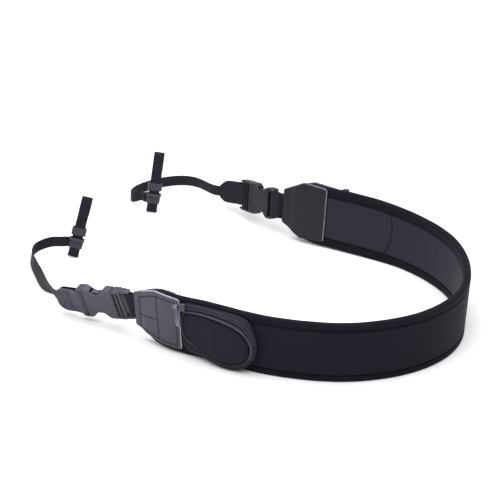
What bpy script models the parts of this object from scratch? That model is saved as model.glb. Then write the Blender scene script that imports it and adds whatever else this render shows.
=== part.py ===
"""Camera neck strap with a padded band, standing on its lower edge.

The band is a long padded strip that stands on its lower edge in a U, open
towards -X.  Each of its two ends has a pair of leather tabs, a zipped pocket,
a loop of wide webbing, a fastened side-release buckle, a leather patch and a
narrow webbing that runs to the upright loop for a lug.  Metres, +Z up, with the
origin in the middle of the footprint on the floor.

Two flat coordinate systems are used.  Belt coordinates are (s, v, n): the
distance along the band from its front mouth, the height across it, and the
distance outwards from its middle layer.  Link coordinates are (x, y, z): away
from the band, across, and outwards, and they are the same at both ends.
"""
from collections import namedtuple
from math import cos, pi, radians, sin

import bmesh
import bpy
import numpy as np
from mathutils import Matrix, Vector

MM = 0.001
COLLECTION = "camera_neck_strap"
CUTTERS = "cutters"

# ---------------------------------------------------------------- the band
BAND_WIDTH = 60.0 * MM
BAND_EDGE = 7.0 * MM          # thickness over the two bindings
CORE_EDGE = 4.0 * MM          # thickness of the pad inside the bindings
CORE_MIDDLE = 6.8 * MM        # thickness of the pad between them
BINDING_WALL = 1.1 * MM
BINDING_OUTER = 6.6 * MM      # how far the binding comes down on the outer face
BINDING_INNER = 8.6 * MM      # and on the inner face
BINDING_RADIUS = 2.6 * MM     # rounding of the bound edge
FLOOR_PRESS = 0.5 * MM        # how far the soft lower edge is pressed flat
GAP = 0.3 * MM                # clearance between pieces that touch
BAND_NEAR_MOUTH = (15.0, 19.0, 24.0, 31.5)   # sections where the band tapers
BAND_STEADY = 40.0 * MM       # from here on the sections are evenly spaced
BAND_STATIONS = 51

# The band's half width near each end: distance from the mouth, half width.
BandWidth = namedtuple("BandWidth", "distance half")
BAND_TAPER = (
    BandWidth(15.0, 22.2),
    BandWidth(24.0, 27.1),
    BandWidth(34.0, 28.7),
    BandWidth(50.0, 29.2),
    BandWidth(75.0, 29.7),
    BandWidth(110.0, 30.0),
)

# The band's centre line seen from above, in millimetres from the middle of the
# view, with the outward lean of the band in degrees.
Station = namedtuple("Station", "x y lean")
BELT_ROUTE = (
    Station(-103.0, -176.5, 5.0),
    Station(-63.5, -209.8, 5.0),
    Station(-40.0, -221.8, 5.0),
    Station(-16.0, -236.2, 5.0),
    Station(8.0, -248.8, 5.0),
    Station(44.0, -260.8, 5.0),
    Station(79.0, -265.4, 5.0),
    Station(115.0, -260.4, 5.0),
    Station(150.0, -244.0, 5.0),
    Station(176.4, -217.5, 5.0),
    Station(190.0, -188.0, 5.2),
    Station(194.0, -159.0, 4.6),
    Station(193.2, -131.0, 3.6),
    Station(188.0, -104.5, 2.8),
    Station(173.8, -72.8, 2.6),
    Station(155.6, -48.0, 2.6),
    Station(136.0, -28.4, 3.6),
    Station(117.0, -13.6, 7.0),
    Station(78.8, 10.0, 9.0),
    Station(31.7, 37.0, 8.5),
)
FOOTPRINT_CENTRE = (-5.04, -66.07)   # moved to the origin, in millimetres

# ---------------------------------------------------------------- end pieces
TAB_THICK = 1.2 * MM
TAB_MOUTH_OFFSET = 1.8 * MM   # inner face of the leather at the mouth
TAB_BAND_OFFSET = 3.9 * MM    # and over the band
# The tabs' upper and lower edges: distance from the mouth, and the two heights.
TabEdge = namedtuple("TabEdge", "distance top bottom")
TAB_OUTLINE = {
    "outer": (
        TabEdge(0.0, 17.8, -16.2),
        TabEdge(3.0, 19.2, -17.1),
        TabEdge(8.0, 21.6, -18.2),
        TabEdge(15.0, 24.8, -19.3),
        TabEdge(22.0, 27.6, -21.0),
        TabEdge(29.0, 29.8, -22.8),
        TabEdge(37.0, 29.4, -23.9),
        TabEdge(50.0, 28.6, -24.2),
        TabEdge(53.6, 27.8, -24.0),
        TabEdge(55.0, 26.2, -22.8),
    ),
    "inner_front": (
        TabEdge(0.0, 16.6, -14.4),
        TabEdge(3.0, 17.8, -15.8),
        TabEdge(8.0, 19.6, -18.4),
        TabEdge(15.0, 22.4, -22.0),
        TabEdge(22.0, 25.2, -24.6),
        TabEdge(30.0, 27.6, -25.2),
        TabEdge(37.0, 28.0, -25.0),
        TabEdge(42.0, 27.9, -24.8),
        TabEdge(45.8, 27.6, -24.4),
        TabEdge(47.2, 26.2, -23.2),
    ),
    "inner_back": (
        TabEdge(0.0, 18.4, -14.4),
        TabEdge(3.0, 20.0, -15.8),
        TabEdge(8.0, 22.6, -18.4),
        TabEdge(15.0, 26.2, -22.2),
        TabEdge(21.8, 29.8, -25.8),
        TabEdge(30.0, 29.4, -25.4),
        TabEdge(37.0, 29.0, -25.2),
        TabEdge(42.0, 28.7, -24.9),
        TabEdge(45.8, 28.2, -24.6),
        TabEdge(47.2, 26.8, -23.4),
    ),
}

WEBBING_WIDTH = 24.4 * MM
WEBBING_THICK = 1.2 * MM
MOUTH_TO_BAR = {"front": 8.8 * MM, "back": 10.8 * MM}
LOOP_RADIUS = {"front": 2.75 * MM, "back": 3.05 * MM}   # middle of the webbing round its bar
LOOP_INSIDE = 12.0 * MM       # length of webbing between the tabs

# The buckle lies along x from the male half's bar to the female half's.
RailOutline = namedtuple("RailOutline", "x half")
BUCKLE_SIZE = {"front": 1.0, "back": 0.94}
BUCKLE_WIDTH = 32.0 * MM
BUCKLE_THICK = 9.0 * MM
MALE_BAR_RADIUS = 1.8 * MM
MALE_SHOULDER = (5.8 * MM, 15.0 * MM)
# Half of the male rails' outline beside the bar: distance from it, half width.
MALE_RAIL_OUTLINE = (
    RailOutline(-4.0, 14.3),
    RailOutline(-3.0, 14.8),
    RailOutline(-1.6, 15.3),
    RailOutline(0.8, 15.8),
    RailOutline(4.0, 16.0),
)
RAIL_INNER = 13.3 * MM
RAIL_THICK = 5.8 * MM
PRONG_REACH = 38.6 * MM
PRONG_INNER = 7.6 * MM
PRONG_OUTER = 11.4 * MM
PRONG_THICK = 4.6 * MM
BUTTON = (29.6 * MM, 37.2 * MM, 12.2 * MM)   # start, end, reach from the middle
GUIDE_REACH = 31.0 * MM
GUIDE_WIDTH = 4.0 * MM
FEMALE_START = 15.5 * MM
FEMALE_CAVITY = (41.4 * MM, 26.0 * MM, 5.8 * MM)   # end, width, height
FEMALE_SLOT = (46.6 * MM, 50.8 * MM)
FEMALE_BAR_THICK = 3.2 * MM
FEMALE_BAR = 52.2 * MM        # middle of the female half's bar
# Half of the female buckle's outline: distance from the male's bar, half width.
FemaleOutline = namedtuple("FemaleOutline", "x half")
FEMALE_OUTLINE = (
    FemaleOutline(15.5, 16.0),
    FemaleOutline(22.8, 16.0),
    FemaleOutline(25.6, 14.4),
    FemaleOutline(28.6, 11.7),
    FemaleOutline(31.2, 10.4),
    FemaleOutline(33.4, 10.1),
    FemaleOutline(35.6, 10.4),
    FemaleOutline(38.2, 11.7),
    FemaleOutline(41.2, 14.4),
    FemaleOutline(44.0, 15.9),
    FemaleOutline(48.4, 16.0),
    FemaleOutline(51.6, 15.6),
    FemaleOutline(53.6, 14.4),
)

PATCH_SIZE = {"front": (1.08, 1.0, 1.0), "back": (1.05, 0.9, 1.0)}   # against the sizes here
PATCH_LENGTH = 26.5 * MM
PATCH_FOLD_RADIUS = 3.05 * MM
PATCH_LAYER = 1.5 * MM        # middle of each layer of the fold
PATCH_LEATHER_RADIUS = 4.5 * MM
PATCH_LEATHER_LAYER = 2.95 * MM
PATCH_LEATHER_THICK = 1.1 * MM
PATCH_ROUND = 10.0 * MM
PATCH_HALF = 12.1 * MM
PATCH_MARGIN = 0.8 * MM       # the leather's, beyond the webbing
# The narrow webbing between the patch's layers: distance from the bar, and rise.
NARROW_EXIT = {
    "front": ((12.0, 0.0), (18.0, 0.3), (24.0, 0.8), (28.0, 1.6)),
    "back": ((13.0, 0.0), (20.5, 0.0), (26.5, 0.0), (30.5, 0.0)),
}

NARROW_WIDTH = 10.0 * MM
NARROW_THICK = 1.2 * MM

# Directions of the rigid links away from the band: plan direction from -X
# towards +Y, downward droop and outward lean, all in degrees.  The front buckle
# has its male half towards the band, and the back one its female half.
Link = namedtuple("Link", "turn droop lean")
BUCKLE_LINK = {"front": Link(30.0, 9.8, 15.0), "back": Link(53.5, 9.5, 11.0)}
PATCH_LINK = {"front": Link(36.0, 9.5, 14.0), "back": Link(32.0, 6.5, 5.0)}

# Narrow webbing from the patch to the slider: middle of the webbing, with the
# outward lean of its upper edge.
Turn = namedtuple("Turn", "x y z lean")
NARROW_ROUTE = {
    "front": (
        Turn(-182.6, -118.0, 16.8, 20.0),
        Turn(-187.4, -106.0, 14.2, -2.0),
        Turn(-193.3, -86.0, 9.6, -30.0),
        Turn(-199.6, -58.0, 6.3, -34.0),
        Turn(-205.6, -35.5, 5.6, -20.0),
        Turn(-207.4, -21.5, 5.9, -8.0),
        Turn(-204.0, -9.2, 7.8, 0.0),
        Turn(-196.4, -3.6, 9.4, 0.0),
        Turn(-186.9, -4.6, 12.3, 0.0),
        Turn(-179.8, -7.8, 13.8, 0.0),
    ),
    "back": (
        Turn(-42.5, 107.8, 17.0, 0.0),
        Turn(-50.0, 117.6, 16.2, 0.0),
        Turn(-61.0, 129.0, 13.8, 2.0),
        Turn(-77.0, 137.0, 10.0, 4.0),
        Turn(-96.0, 136.5, 6.6, 4.0),
        Turn(-111.0, 126.0, 5.8, 2.0),
        Turn(-117.0, 110.0, 7.6, 0.0),
        Turn(-113.4, 97.6, 11.4, 0.0),
        Turn(-105.0, 92.4, 14.6, 0.0),
    ),
}
NARROW_STATIONS = 30

# The upright loop for a lug: foot on the floor, lean to +X.
LugLoop = namedtuple("LugLoop", "x y lean")
LUG_LOOP = {"front": LugLoop(-169.2, -13.4, 14.2), "back": LugLoop(-97.0, 86.5, 8.0)}
LUG_HEIGHT = 63.0 * MM
LUG_LAYER = 0.8 * MM          # middle of each layer
LUG_TAIL = 9.4 * MM           # free tail below the slider
EYE_START = 43.0 * MM
EYE_HALF = 3.9 * MM           # middle of the webbing at the eye's widest place
SLIDER_SIZE = (14.4 * MM, 10.2 * MM, 5.6 * MM)      # width, height, depth
KEEPER_SIZE = (13.8 * MM, 7.8 * MM, 5.2 * MM)
SLEEVE_INNER = (10.9 * MM, 3.3 * MM)                # width, depth
KEEPER_HEIGHT = 27.0 * MM
NARROW_BEHIND = 3.9 * MM      # middle of the narrow webbing behind the slider

# ---------------------------------------------------------------- the pocket
# Distances from the mouth along the band, and heights from the band's middle.
POCKET_BASE = 4.6 * MM        # middle of the side wall at the band's face
POCKET_RISE = 7.4 * MM        # how far the panel stands out beyond that
# Ribs of the side wall, evenly numbered from its far end round over the top: its
# foot on the band and its edge at the panel, each a distance and a height.
Rib = namedtuple("Rib", "foot_x foot_y edge_x edge_y")
POCKET_RIBS = (
    Rib(131.6, -2.0, 128.6, -2.8),
    Rib(130.8, 8.4, 126.6, 6.8),
    Rib(128.0, 18.6, 120.6, 14.4),
    Rib(121.4, 25.8, 110.6, 18.8),
    Rib(106.6, 27.6, 98.6, 20.7),
    Rib(92.0, 27.7, 86.4, 20.8),
    Rib(78.0, 27.4, 74.6, 19.6),
    Rib(65.4, 27.2, 64.8, 18.3),
    Rib(58.0, 25.0, 59.8, 15.0),
    Rib(56.8, 8.0, 58.7, 5.6),
    Rib(57.8, -17.6, 60.0, -6.0),
    Rib(66.4, -24.6, 67.4, -10.8),
    Rib(81.0, -26.6, 81.0, -16.4),
    Rib(97.0, -28.3, 96.0, -20.2),
    Rib(113.0, -27.6, 110.4, -20.6),
    Rib(126.0, -17.6, 122.8, -14.6),
)
PANEL_START = 58.6 * MM
PANEL_MIDDLE = (94.0 * MM, 0.4 * MM)
PANEL_CLIMB = 40.0 * MM      # length over which the panel climbs to its full height
PANEL_DOME = 1.6 * MM
PANEL_THICK = 1.8 * MM
PANEL_INSET = 0.95 * MM       # the panel's edge inside the top of the wall
WALL_THICK = 1.5 * MM
POCKET_POINTS = 32
WALL_BULGE = (0.5 * MM, 3.2 * MM)    # how far the wall bulges, above and below
ZIP_WIDTH = 4.2 * MM
ZIP_THICK = 0.8 * MM
ZIP_PLACE = (0.54, 0.30)      # place between the foot and the panel, at both its ends
ZIP_ARC = (1, 15)             # the zip's first and last point of POCKET_POINTS

SLIDER_POINT = 15.3             # the slider's place along the same points
ZIP_BODY = (6.6 * MM, 7.0 * MM, 2.6 * MM)
ZIP_PIN_RADIUS = 0.75 * MM
ZIP_PIN_REACH = 5.4 * MM
PULL_BORE = 1.1 * MM
PULL_EYE = 2.1 * MM
PULL_WIDTH = 4.2 * MM
PULL_LENGTH = 19.0 * MM
PULL_THICK = 1.3 * MM

# ---------------------------------------------------------------- finishes
Finish = namedtuple("Finish", "colour roughness metallic")
FINISHES = {
    "neoprene": Finish((0.016, 0.017, 0.024), 0.85, 0.0),
    "binding": Finish((0.012, 0.012, 0.017), 0.8, 0.0),
    "leather": Finish((0.085, 0.088, 0.115), 0.45, 0.0),
    "pocket_cloth": Finish((0.035, 0.038, 0.048), 0.75, 0.0),
    "webbing": Finish((0.020, 0.020, 0.028), 0.7, 0.0),
    "buckle_plastic": Finish((0.070, 0.074, 0.095), 0.4, 0.0),
    "zip_metal": Finish((0.12, 0.12, 0.14), 0.35, 0.6),
    "zip_teeth": Finish((0.030, 0.032, 0.040), 0.5, 0.0),
}


# ================================================================ routes
def natural_spline(places, rows):
    """Second derivatives of a natural cubic spline through rows at places."""
    count = len(places)
    gaps = np.diff(places)
    matrix = np.eye(count)
    right = np.zeros_like(rows)
    for i in range(1, count - 1):
        matrix[i, i - 1] = gaps[i - 1]
        matrix[i, i] = 2.0 * (gaps[i - 1] + gaps[i])
        matrix[i, i + 1] = gaps[i]
        rise = (rows[i + 1] - rows[i]) / gaps[i]
        right[i] = 6.0 * (rise - (rows[i] - rows[i - 1]) / gaps[i - 1])
    return np.linalg.solve(matrix, right)


class Route:
    """A smooth line through stations (x, y, z, lean), read by its length."""

    SAMPLES = 1200

    def __init__(self, stations, outward):
        """outward is +1 where the outer side is on the right of the line."""
        self.outward = outward
        rows = np.array(stations, dtype=float)
        steps = np.linalg.norm(np.diff(rows[:, :3], axis=0), axis=1)
        places = np.concatenate(([0.0], np.cumsum(steps)))
        bends = natural_spline(places, rows)
        dense = np.linspace(0.0, places[-1], self.SAMPLES)
        self.rows = np.array([self.blend(places, rows, bends, d) for d in dense])
        steps = np.linalg.norm(np.diff(self.rows[:, :3], axis=0), axis=1)
        self.lengths = np.concatenate(([0.0], np.cumsum(steps)))
        self.length = float(self.lengths[-1])

    @staticmethod
    def blend(places, rows, bends, place):
        """The spline's row at a place."""
        i = min(max(int(np.searchsorted(places, place)) - 1, 0), len(places) - 2)
        gap = places[i + 1] - places[i]
        a = (places[i + 1] - place) / gap
        b = 1.0 - a
        curve = ((a ** 3 - a) * bends[i] + (b ** 3 - b) * bends[i + 1]) * gap ** 2 / 6.0
        return a * rows[i] + b * rows[i + 1] + curve

    def row(self, s):
        """Position and lean at the length s."""
        return np.array([np.interp(s, self.lengths, self.rows[:, k]) for k in range(4)])

    def frame(self, s):
        """Origin, along, up and out at the length s, straight on past the ends."""
        inside = min(max(s, 0.0), self.length)
        step = 0.4 * MM
        before = self.row(max(inside - step, 0.0))
        after = self.row(min(inside + step, self.length))
        along = Vector(after[:3] - before[:3]).normalized()
        here = self.row(inside)
        flat_out = Vector((along.y, -along.x, 0.0)).normalized() * self.outward
        lean = radians(here[3])
        up = Vector((0, 0, cos(lean))) + flat_out * sin(lean)
        up = (up - along * up.dot(along)).normalized()
        out = along.cross(up) * self.outward
        return Vector(here[:3]) + along * (s - inside), along, up, out

    def point(self, s, v, n):
        """The world place of belt coordinates (s, v, n)."""
        origin, _along, up, out = self.frame(s)
        return origin + up * v + out * n


def plan(x, y):
    """A plan place in millimetres, moved so that the footprint is centred."""
    return (x - FOOTPRINT_CENTRE[0]) * MM, (y - FOOTPRINT_CENTRE[1]) * MM


def belt_route():
    """The band's middle line, at the height that lays its lower edge on the floor."""
    rows = []
    for station in BELT_ROUTE:
        reach = BAND_WIDTH / 2 - BINDING_RADIUS
        height = reach * cos(radians(station.lean)) + BINDING_RADIUS
        height += (BAND_EDGE / 2 - BINDING_RADIUS) * sin(radians(station.lean)) - FLOOR_PRESS / 2
        rows.append((*plan(station.x, station.y), height, station.lean))
    return Route(rows, 1)


# ================================================================ meshes
def material(name):
    """The named finish as a Principled material, made once."""
    if name in bpy.data.materials:
        return bpy.data.materials[name]
    finish = FINISHES[name]
    made = bpy.data.materials.new(name)
    made.use_nodes = True
    made.diffuse_color = (*finish.colour, 1.0)
    shader = made.node_tree.nodes["Principled BSDF"]
    shader.inputs["Base Color"].default_value = (*finish.colour, 1.0)
    shader.inputs["Roughness"].default_value = finish.roughness
    shader.inputs["Metallic"].default_value = finish.metallic
    return made


def collection(name):
    """The collection of that name, made once."""
    if name not in bpy.data.collections:
        bpy.context.scene.collection.children.link(bpy.data.collections.new(name))
    return bpy.data.collections[name]


def add_object(name, bm, finish):
    """A new named object from a bmesh, with its own copy of a finish."""
    mesh = bpy.data.meshes.new(name)
    bm.to_mesh(mesh)
    bm.free()
    made = bpy.data.objects.new(name, mesh)
    own = material(finish).copy()
    own.name = name
    mesh.materials.append(own)
    collection(COLLECTION).objects.link(made)
    return made


def bake(made):
    """Replaces an object's mesh with its evaluated one."""
    bpy.context.view_layer.update()
    graph = bpy.context.evaluated_depsgraph_get()
    mesh = bpy.data.meshes.new_from_object(made.evaluated_get(graph))
    made.modifiers.clear()
    made.data = mesh
    return made


def move_points(made, mapping):
    """Moves every vertex of a flat piece to mapping(x, y, z)."""
    for vertex in made.data.vertices:
        vertex.co = mapping(*vertex.co)
    bm = bmesh.new()
    bm.from_mesh(made.data)
    bmesh.ops.recalc_face_normals(bm, faces=bm.faces)
    bm.to_mesh(made.data)
    bm.free()
    return made


def loft(name, rings, finish):
    """A closed body through equal rings of points, capped at both ends."""
    bm = bmesh.new()
    rows = [[bm.verts.new(point) for point in ring] for ring in rings]
    for near, far in zip(rows, rows[1:]):
        for i, j in zip(range(len(near)), [*range(1, len(near)), 0]):
            bm.faces.new((near[i], near[j], far[j], far[i]))
    bm.faces.new(list(reversed(rows[0])))
    bm.faces.new(rows[-1])
    bmesh.ops.recalc_face_normals(bm, faces=bm.faces)
    return add_object(name, bm, finish)


def strip(name, rows, thick, finish):
    """A sheet through rows of points, given its thickness about the middle."""
    bm = bmesh.new()
    grid = [[bm.verts.new(point) for point in row] for row in rows]
    for near, far in zip(grid, grid[1:]):
        for i in range(len(near) - 1):
            bm.faces.new((near[i], near[i + 1], far[i + 1], far[i]))
    made = add_object(name, bm, finish)
    solid = made.modifiers.new("thickness", "SOLIDIFY")
    solid.thickness = thick
    solid.offset = 0.0
    solid.use_even_offset = True
    return bake(made)


def box(name, low, high, finish, bevel=0.0):
    """A box between two corners, with bevelled edges."""
    bm = bmesh.new()
    bmesh.ops.create_cube(bm, size=1.0)
    size = Vector(high) - Vector(low)
    middle = (Vector(high) + Vector(low)) / 2
    bmesh.ops.scale(bm, vec=size, verts=bm.verts)
    bmesh.ops.translate(bm, vec=middle, verts=bm.verts)
    made = add_object(name, bm, finish)
    if bevel > 0.0:
        rounding = made.modifiers.new("rounding", "BEVEL")
        rounding.width = bevel
        rounding.segments = 1
        rounding.limit_method = "ANGLE"
        bake(made)
    return made


def cylinder(name, start, end, radius, sides, finish):
    """A cylinder between two points."""
    start, end = Vector(start), Vector(end)
    bm = bmesh.new()
    bmesh.ops.create_cone(bm, cap_ends=True, segments=sides, radius1=radius,
                          radius2=radius, depth=(end - start).length)
    turn = Vector((0, 0, 1)).rotation_difference(end - start).to_matrix().to_4x4()
    bm.transform(Matrix.Translation((start + end) / 2) @ turn)
    return add_object(name, bm, finish)


def plate(name, outline, half_thick, bevel, finish):
    """A flat outline in x and y, extruded both ways and bevelled."""
    curve = bpy.data.curves.new(name, "CURVE")
    curve.dimensions = "2D"
    curve.fill_mode = "BOTH"
    curve.extrude = half_thick
    spline = curve.splines.new("POLY")
    spline.points.add(len(outline) - 1)
    for point, (x, y) in zip(spline.points, outline):
        point.co = (x, y, 0.0, 1.0)
    spline.use_cyclic_u = True
    guide = bpy.data.objects.new(name, curve)
    collection(CUTTERS).objects.link(guide)
    bpy.context.view_layer.update()
    graph = bpy.context.evaluated_depsgraph_get()
    mesh = bpy.data.meshes.new_from_object(guide.evaluated_get(graph))
    bpy.data.objects.remove(guide)
    bm = bmesh.new()
    bm.from_mesh(mesh)
    bmesh.ops.remove_doubles(bm, verts=bm.verts, dist=0.01 * MM)
    bmesh.ops.dissolve_limit(bm, angle_limit=radians(1.0), verts=bm.verts, edges=bm.edges)
    bmesh.ops.recalc_face_normals(bm, faces=bm.faces)
    made = add_object(name, bm, finish)
    made.data.materials.clear()
    own = material(finish).copy()
    own.name = name
    made.data.materials.append(own)
    rounding = made.modifiers.new("rounding", "BEVEL")
    rounding.width = bevel
    rounding.segments = 1
    rounding.limit_method = "ANGLE"
    rounding.angle_limit = radians(60.0)
    return bake(made)


def combine(base, others, operation):
    """Joins or cuts the base with each of the others, which are used up."""
    for other in others:
        change = base.modifiers.new(operation.lower(), "BOOLEAN")
        change.operation = operation
        change.solver = "EXACT"
        change.object = other
        bake(base)
        bpy.data.objects.remove(other)
    return base


# ================================================================ frames
def link_frame(link, side, origin):
    """A rigid link's matrix: x away from the band, z outwards."""
    turn, droop, lean = (radians(angle) for angle in link)
    level = Vector((-cos(turn), sin(turn), 0.0))
    away = level * cos(droop) - Vector((0, 0, sin(droop)))
    flat_out = Vector((-sin(turn), -cos(turn), 0.0)) * (1 if side == "front" else -1)
    out = flat_out * cos(lean) - Vector((0, 0, sin(lean)))
    out = (out - away * out.dot(away)).normalized()
    across = out.cross(away)
    made = Matrix((away, across, out)).transposed().to_4x4()
    made.translation = origin
    return made


class End:
    """One end of the strap: its side, and the way from flat to placed pieces."""

    def __init__(self, side, belt):
        self.side = side
        self.belt = belt
        self.front = side == "front"
        self.up = -1 if self.front else 1     # sign of y for the upper side
        mouth, along, up, out = belt.frame(0.0 if self.front else belt.length)
        away = -along if self.front else along
        across = out.cross(away)
        self.mouth = Matrix((away, across, out)).transposed().to_4x4()
        self.mouth.translation = mouth
        near_bar = mouth + away * MOUTH_TO_BAR[side]
        self.near_bar = link_frame(BUCKLE_LINK[side], side, near_bar)
        size = BUCKLE_SIZE[side]
        far_bar = self.near_bar @ Vector((FEMALE_BAR * size, 0, 0))
        self.buckle = self.near_bar.copy()
        if not self.front:
            self.buckle = self.near_bar @ Matrix.Rotation(pi, 4, "Z")
            self.buckle.translation = far_bar
        self.buckle = self.buckle @ Matrix.Scale(size, 4)
        size = Matrix.Diagonal((*PATCH_SIZE[side], 1.0))
        patch = link_frame(PATCH_LINK[side], side, far_bar)
        self.patch = patch @ size
        across = self.near_bar.col[1].to_3d()
        away = patch.col[0].to_3d()
        away = (away - across * away.dot(across)).normalized()
        bar = Matrix((away, across, away.cross(across))).transposed().to_4x4()
        bar.translation = far_bar
        self.bar = bar @ size

    def name(self, piece):
        """The node's name."""
        return f"{piece}_{self.side}"

    def on_patch(self, x, y, z):
        """World place on the patch, turned into line with its bar close to it."""
        share = min(max((x - 3.0 * MM) / (6.0 * MM), 0.0), 1.0)
        place_on_bar = self.bar @ Vector((x, y, z))
        return place_on_bar.lerp(self.patch @ Vector((x, y, z)), share)

    def on_band(self, distance, height, out):
        """World place from the distance inside the mouth, the height and offset."""
        s = distance if self.front else self.belt.length - distance
        return self.belt.point(s, height, out)

    def band_frame(self, distance, height, out):
        """A matrix on the band: x away from it, y up the face, z outwards."""
        s = distance if self.front else self.belt.length - distance
        origin, along, up, face = self.belt.frame(s)
        away = along * (-1 if self.front else 1)
        made = Matrix((away, face.cross(away), face)).transposed().to_4x4()
        made.translation = origin + up * height + face * out
        return made


def place(made, frame):
    """Puts a flat piece at a frame."""
    made.matrix_world = frame
    return made


def half_width(table, distance):
    """The half width at a distance, both in metres, from a table in millimetres."""
    places = [row.distance * MM for row in table]
    return float(np.interp(distance, places, [row.half * MM for row in table]))


# ================================================================ the band
def band_places(belt):
    """Lengths of the band's sections, closer where it tapers."""
    near = [place * MM for place in BAND_NEAR_MOUTH]
    middle = np.linspace(BAND_STEADY, belt.length - BAND_STEADY, BAND_STATIONS)
    return [*near, *middle, *[belt.length - place for place in reversed(near)]]


def band_inset(belt, s):
    """How much narrower than its full half width the band is at a length."""
    distance = min(s, belt.length - s)
    return BAND_WIDTH / 2 - half_width(BAND_TAPER, distance)


def pad_section():
    """Height and offset of the padded core's outline, the upper outer part first."""
    edge = BAND_WIDTH / 2 - BINDING_WALL - GAP
    outer = BAND_WIDTH / 2 - BINDING_OUTER - GAP
    inner = BAND_WIDTH / 2 - BINDING_INNER - GAP
    thin, full = CORE_EDGE / 2, CORE_MIDDLE / 2
    bound = BAND_EDGE / 2 - BINDING_WALL - GAP
    upper = ((edge, thin * 0.5), (edge - 1.2 * MM, thin), (outer, bound),
             (outer, full * 0.96), (outer * 0.5, full))
    lower = tuple((-height, out) for height, out in reversed(upper))
    back = ((-edge, -thin * 0.5), (-edge + 1.2 * MM, -thin), (-inner, -bound),
            (-inner, -full * 0.96), (-inner * 0.5, -full))
    back_upper = tuple((-height, out) for height, out in reversed(back))
    return (*upper, *lower, *back, *back_upper)


def binding_section():
    """Outline of the folded binding over the upper edge, as height and offset."""
    top, side = BAND_WIDTH / 2, BAND_EDGE / 2
    wall, radius = BINDING_WALL, BINDING_RADIUS
    outer, inner = top - BINDING_OUTER, top - BINDING_INNER
    corner = radius * (1.0 - cos(radians(45.0)))
    skin = ((outer, side), (top - radius, side), (top - corner, side - corner),
            (top, side - radius), (top, radius - side), (top - corner, corner - side),
            (top - radius, -side), (inner, -side))
    lining = ((inner, wall - side), (top - radius, wall - side),
              (top - wall, radius - side), (top - wall, side - radius),
              (top - radius, side - wall), (outer, side - wall))
    return (*skin, *lining)


def shoulder_pad(belt):
    """The padded core of the band."""
    rings = []
    for s in band_places(belt):
        inset = band_inset(belt, s)
        ring = [belt.point(s, height - np.sign(height) * inset, out)
                for height, out in pad_section()]
        rings.append(ring)
    return loft("shoulder_pad", rings, "neoprene")


def edge_binding(belt, name, upper):
    """The folded cloth over one long edge, pressed flat where it stands."""
    rings = []
    for s in band_places(belt):
        inset = band_inset(belt, s)
        ring = [belt.point(s, upper * (height - inset), out) for height, out in binding_section()]
        rings.append(ring)
    made = loft(name, rings, "binding")
    for vertex in made.data.vertices:
        if vertex.co.z < FLOOR_PRESS:
            vertex.co.z = 0.0
    return made


# ================================================================ the ends
def end_tab(end, face):
    """A leather tab over one face of the band's end."""
    word = "outer" if face > 0 else "inner"
    rows = []
    for row in TAB_OUTLINE[word if face > 0 else end.name(word)]:
        distance = row.distance * MM
        rise = min(max((distance - 7.0 * MM) / (8.0 * MM), 0.0), 1.0)
        offset = TAB_MOUTH_OFFSET + (TAB_BAND_OFFSET - TAB_MOUTH_OFFSET) * rise
        offset += TAB_THICK / 2
        rows.append([end.on_band(distance, height * MM, face * offset)
                     for height in (row.bottom, row.top)])
    made = strip(end.name(f"{word}_end_tab"), rows, TAB_THICK, "leather")
    return move_points(made, lambda x, y, z: (x, y, z))


def arc(middle, radius, start, stop, steps):
    """Points (x, z) on an arc about a middle, angles in degrees from +X to +Z."""
    angles = np.linspace(radians(start), radians(stop), steps)
    return [(middle + radius * cos(a), radius * sin(a)) for a in angles]


def webbing_loop(end):
    """The wide webbing from between the tabs, round the buckle's nearer bar."""
    layer = WEBBING_THICK / 2 + GAP / 2
    path = [(-LOOP_INSIDE, layer), (0.4 * MM, layer)]
    bar = MOUTH_TO_BAR[end.side]
    path += arc(bar, LOOP_RADIUS[end.side], 118.0, -118.0, 11)
    path += [(0.4 * MM, -layer), (-LOOP_INSIDE, -layer)]
    half = WEBBING_WIDTH / 2
    rows = [[(x, -half, z), (x, half, z)] for x, z in path]
    made = strip(end.name("webbing_loop"), rows, WEBBING_THICK, "webbing")

    def turned(x, y, z):
        share = min(max((x - 0.2 * MM) / (2.6 * MM), 0.0), 1.0)
        fixed = end.mouth @ Vector((x, y, z))
        return fixed.lerp(end.near_bar @ Vector((x - bar, y, z)), share)
    return move_points(made, turned)


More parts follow.
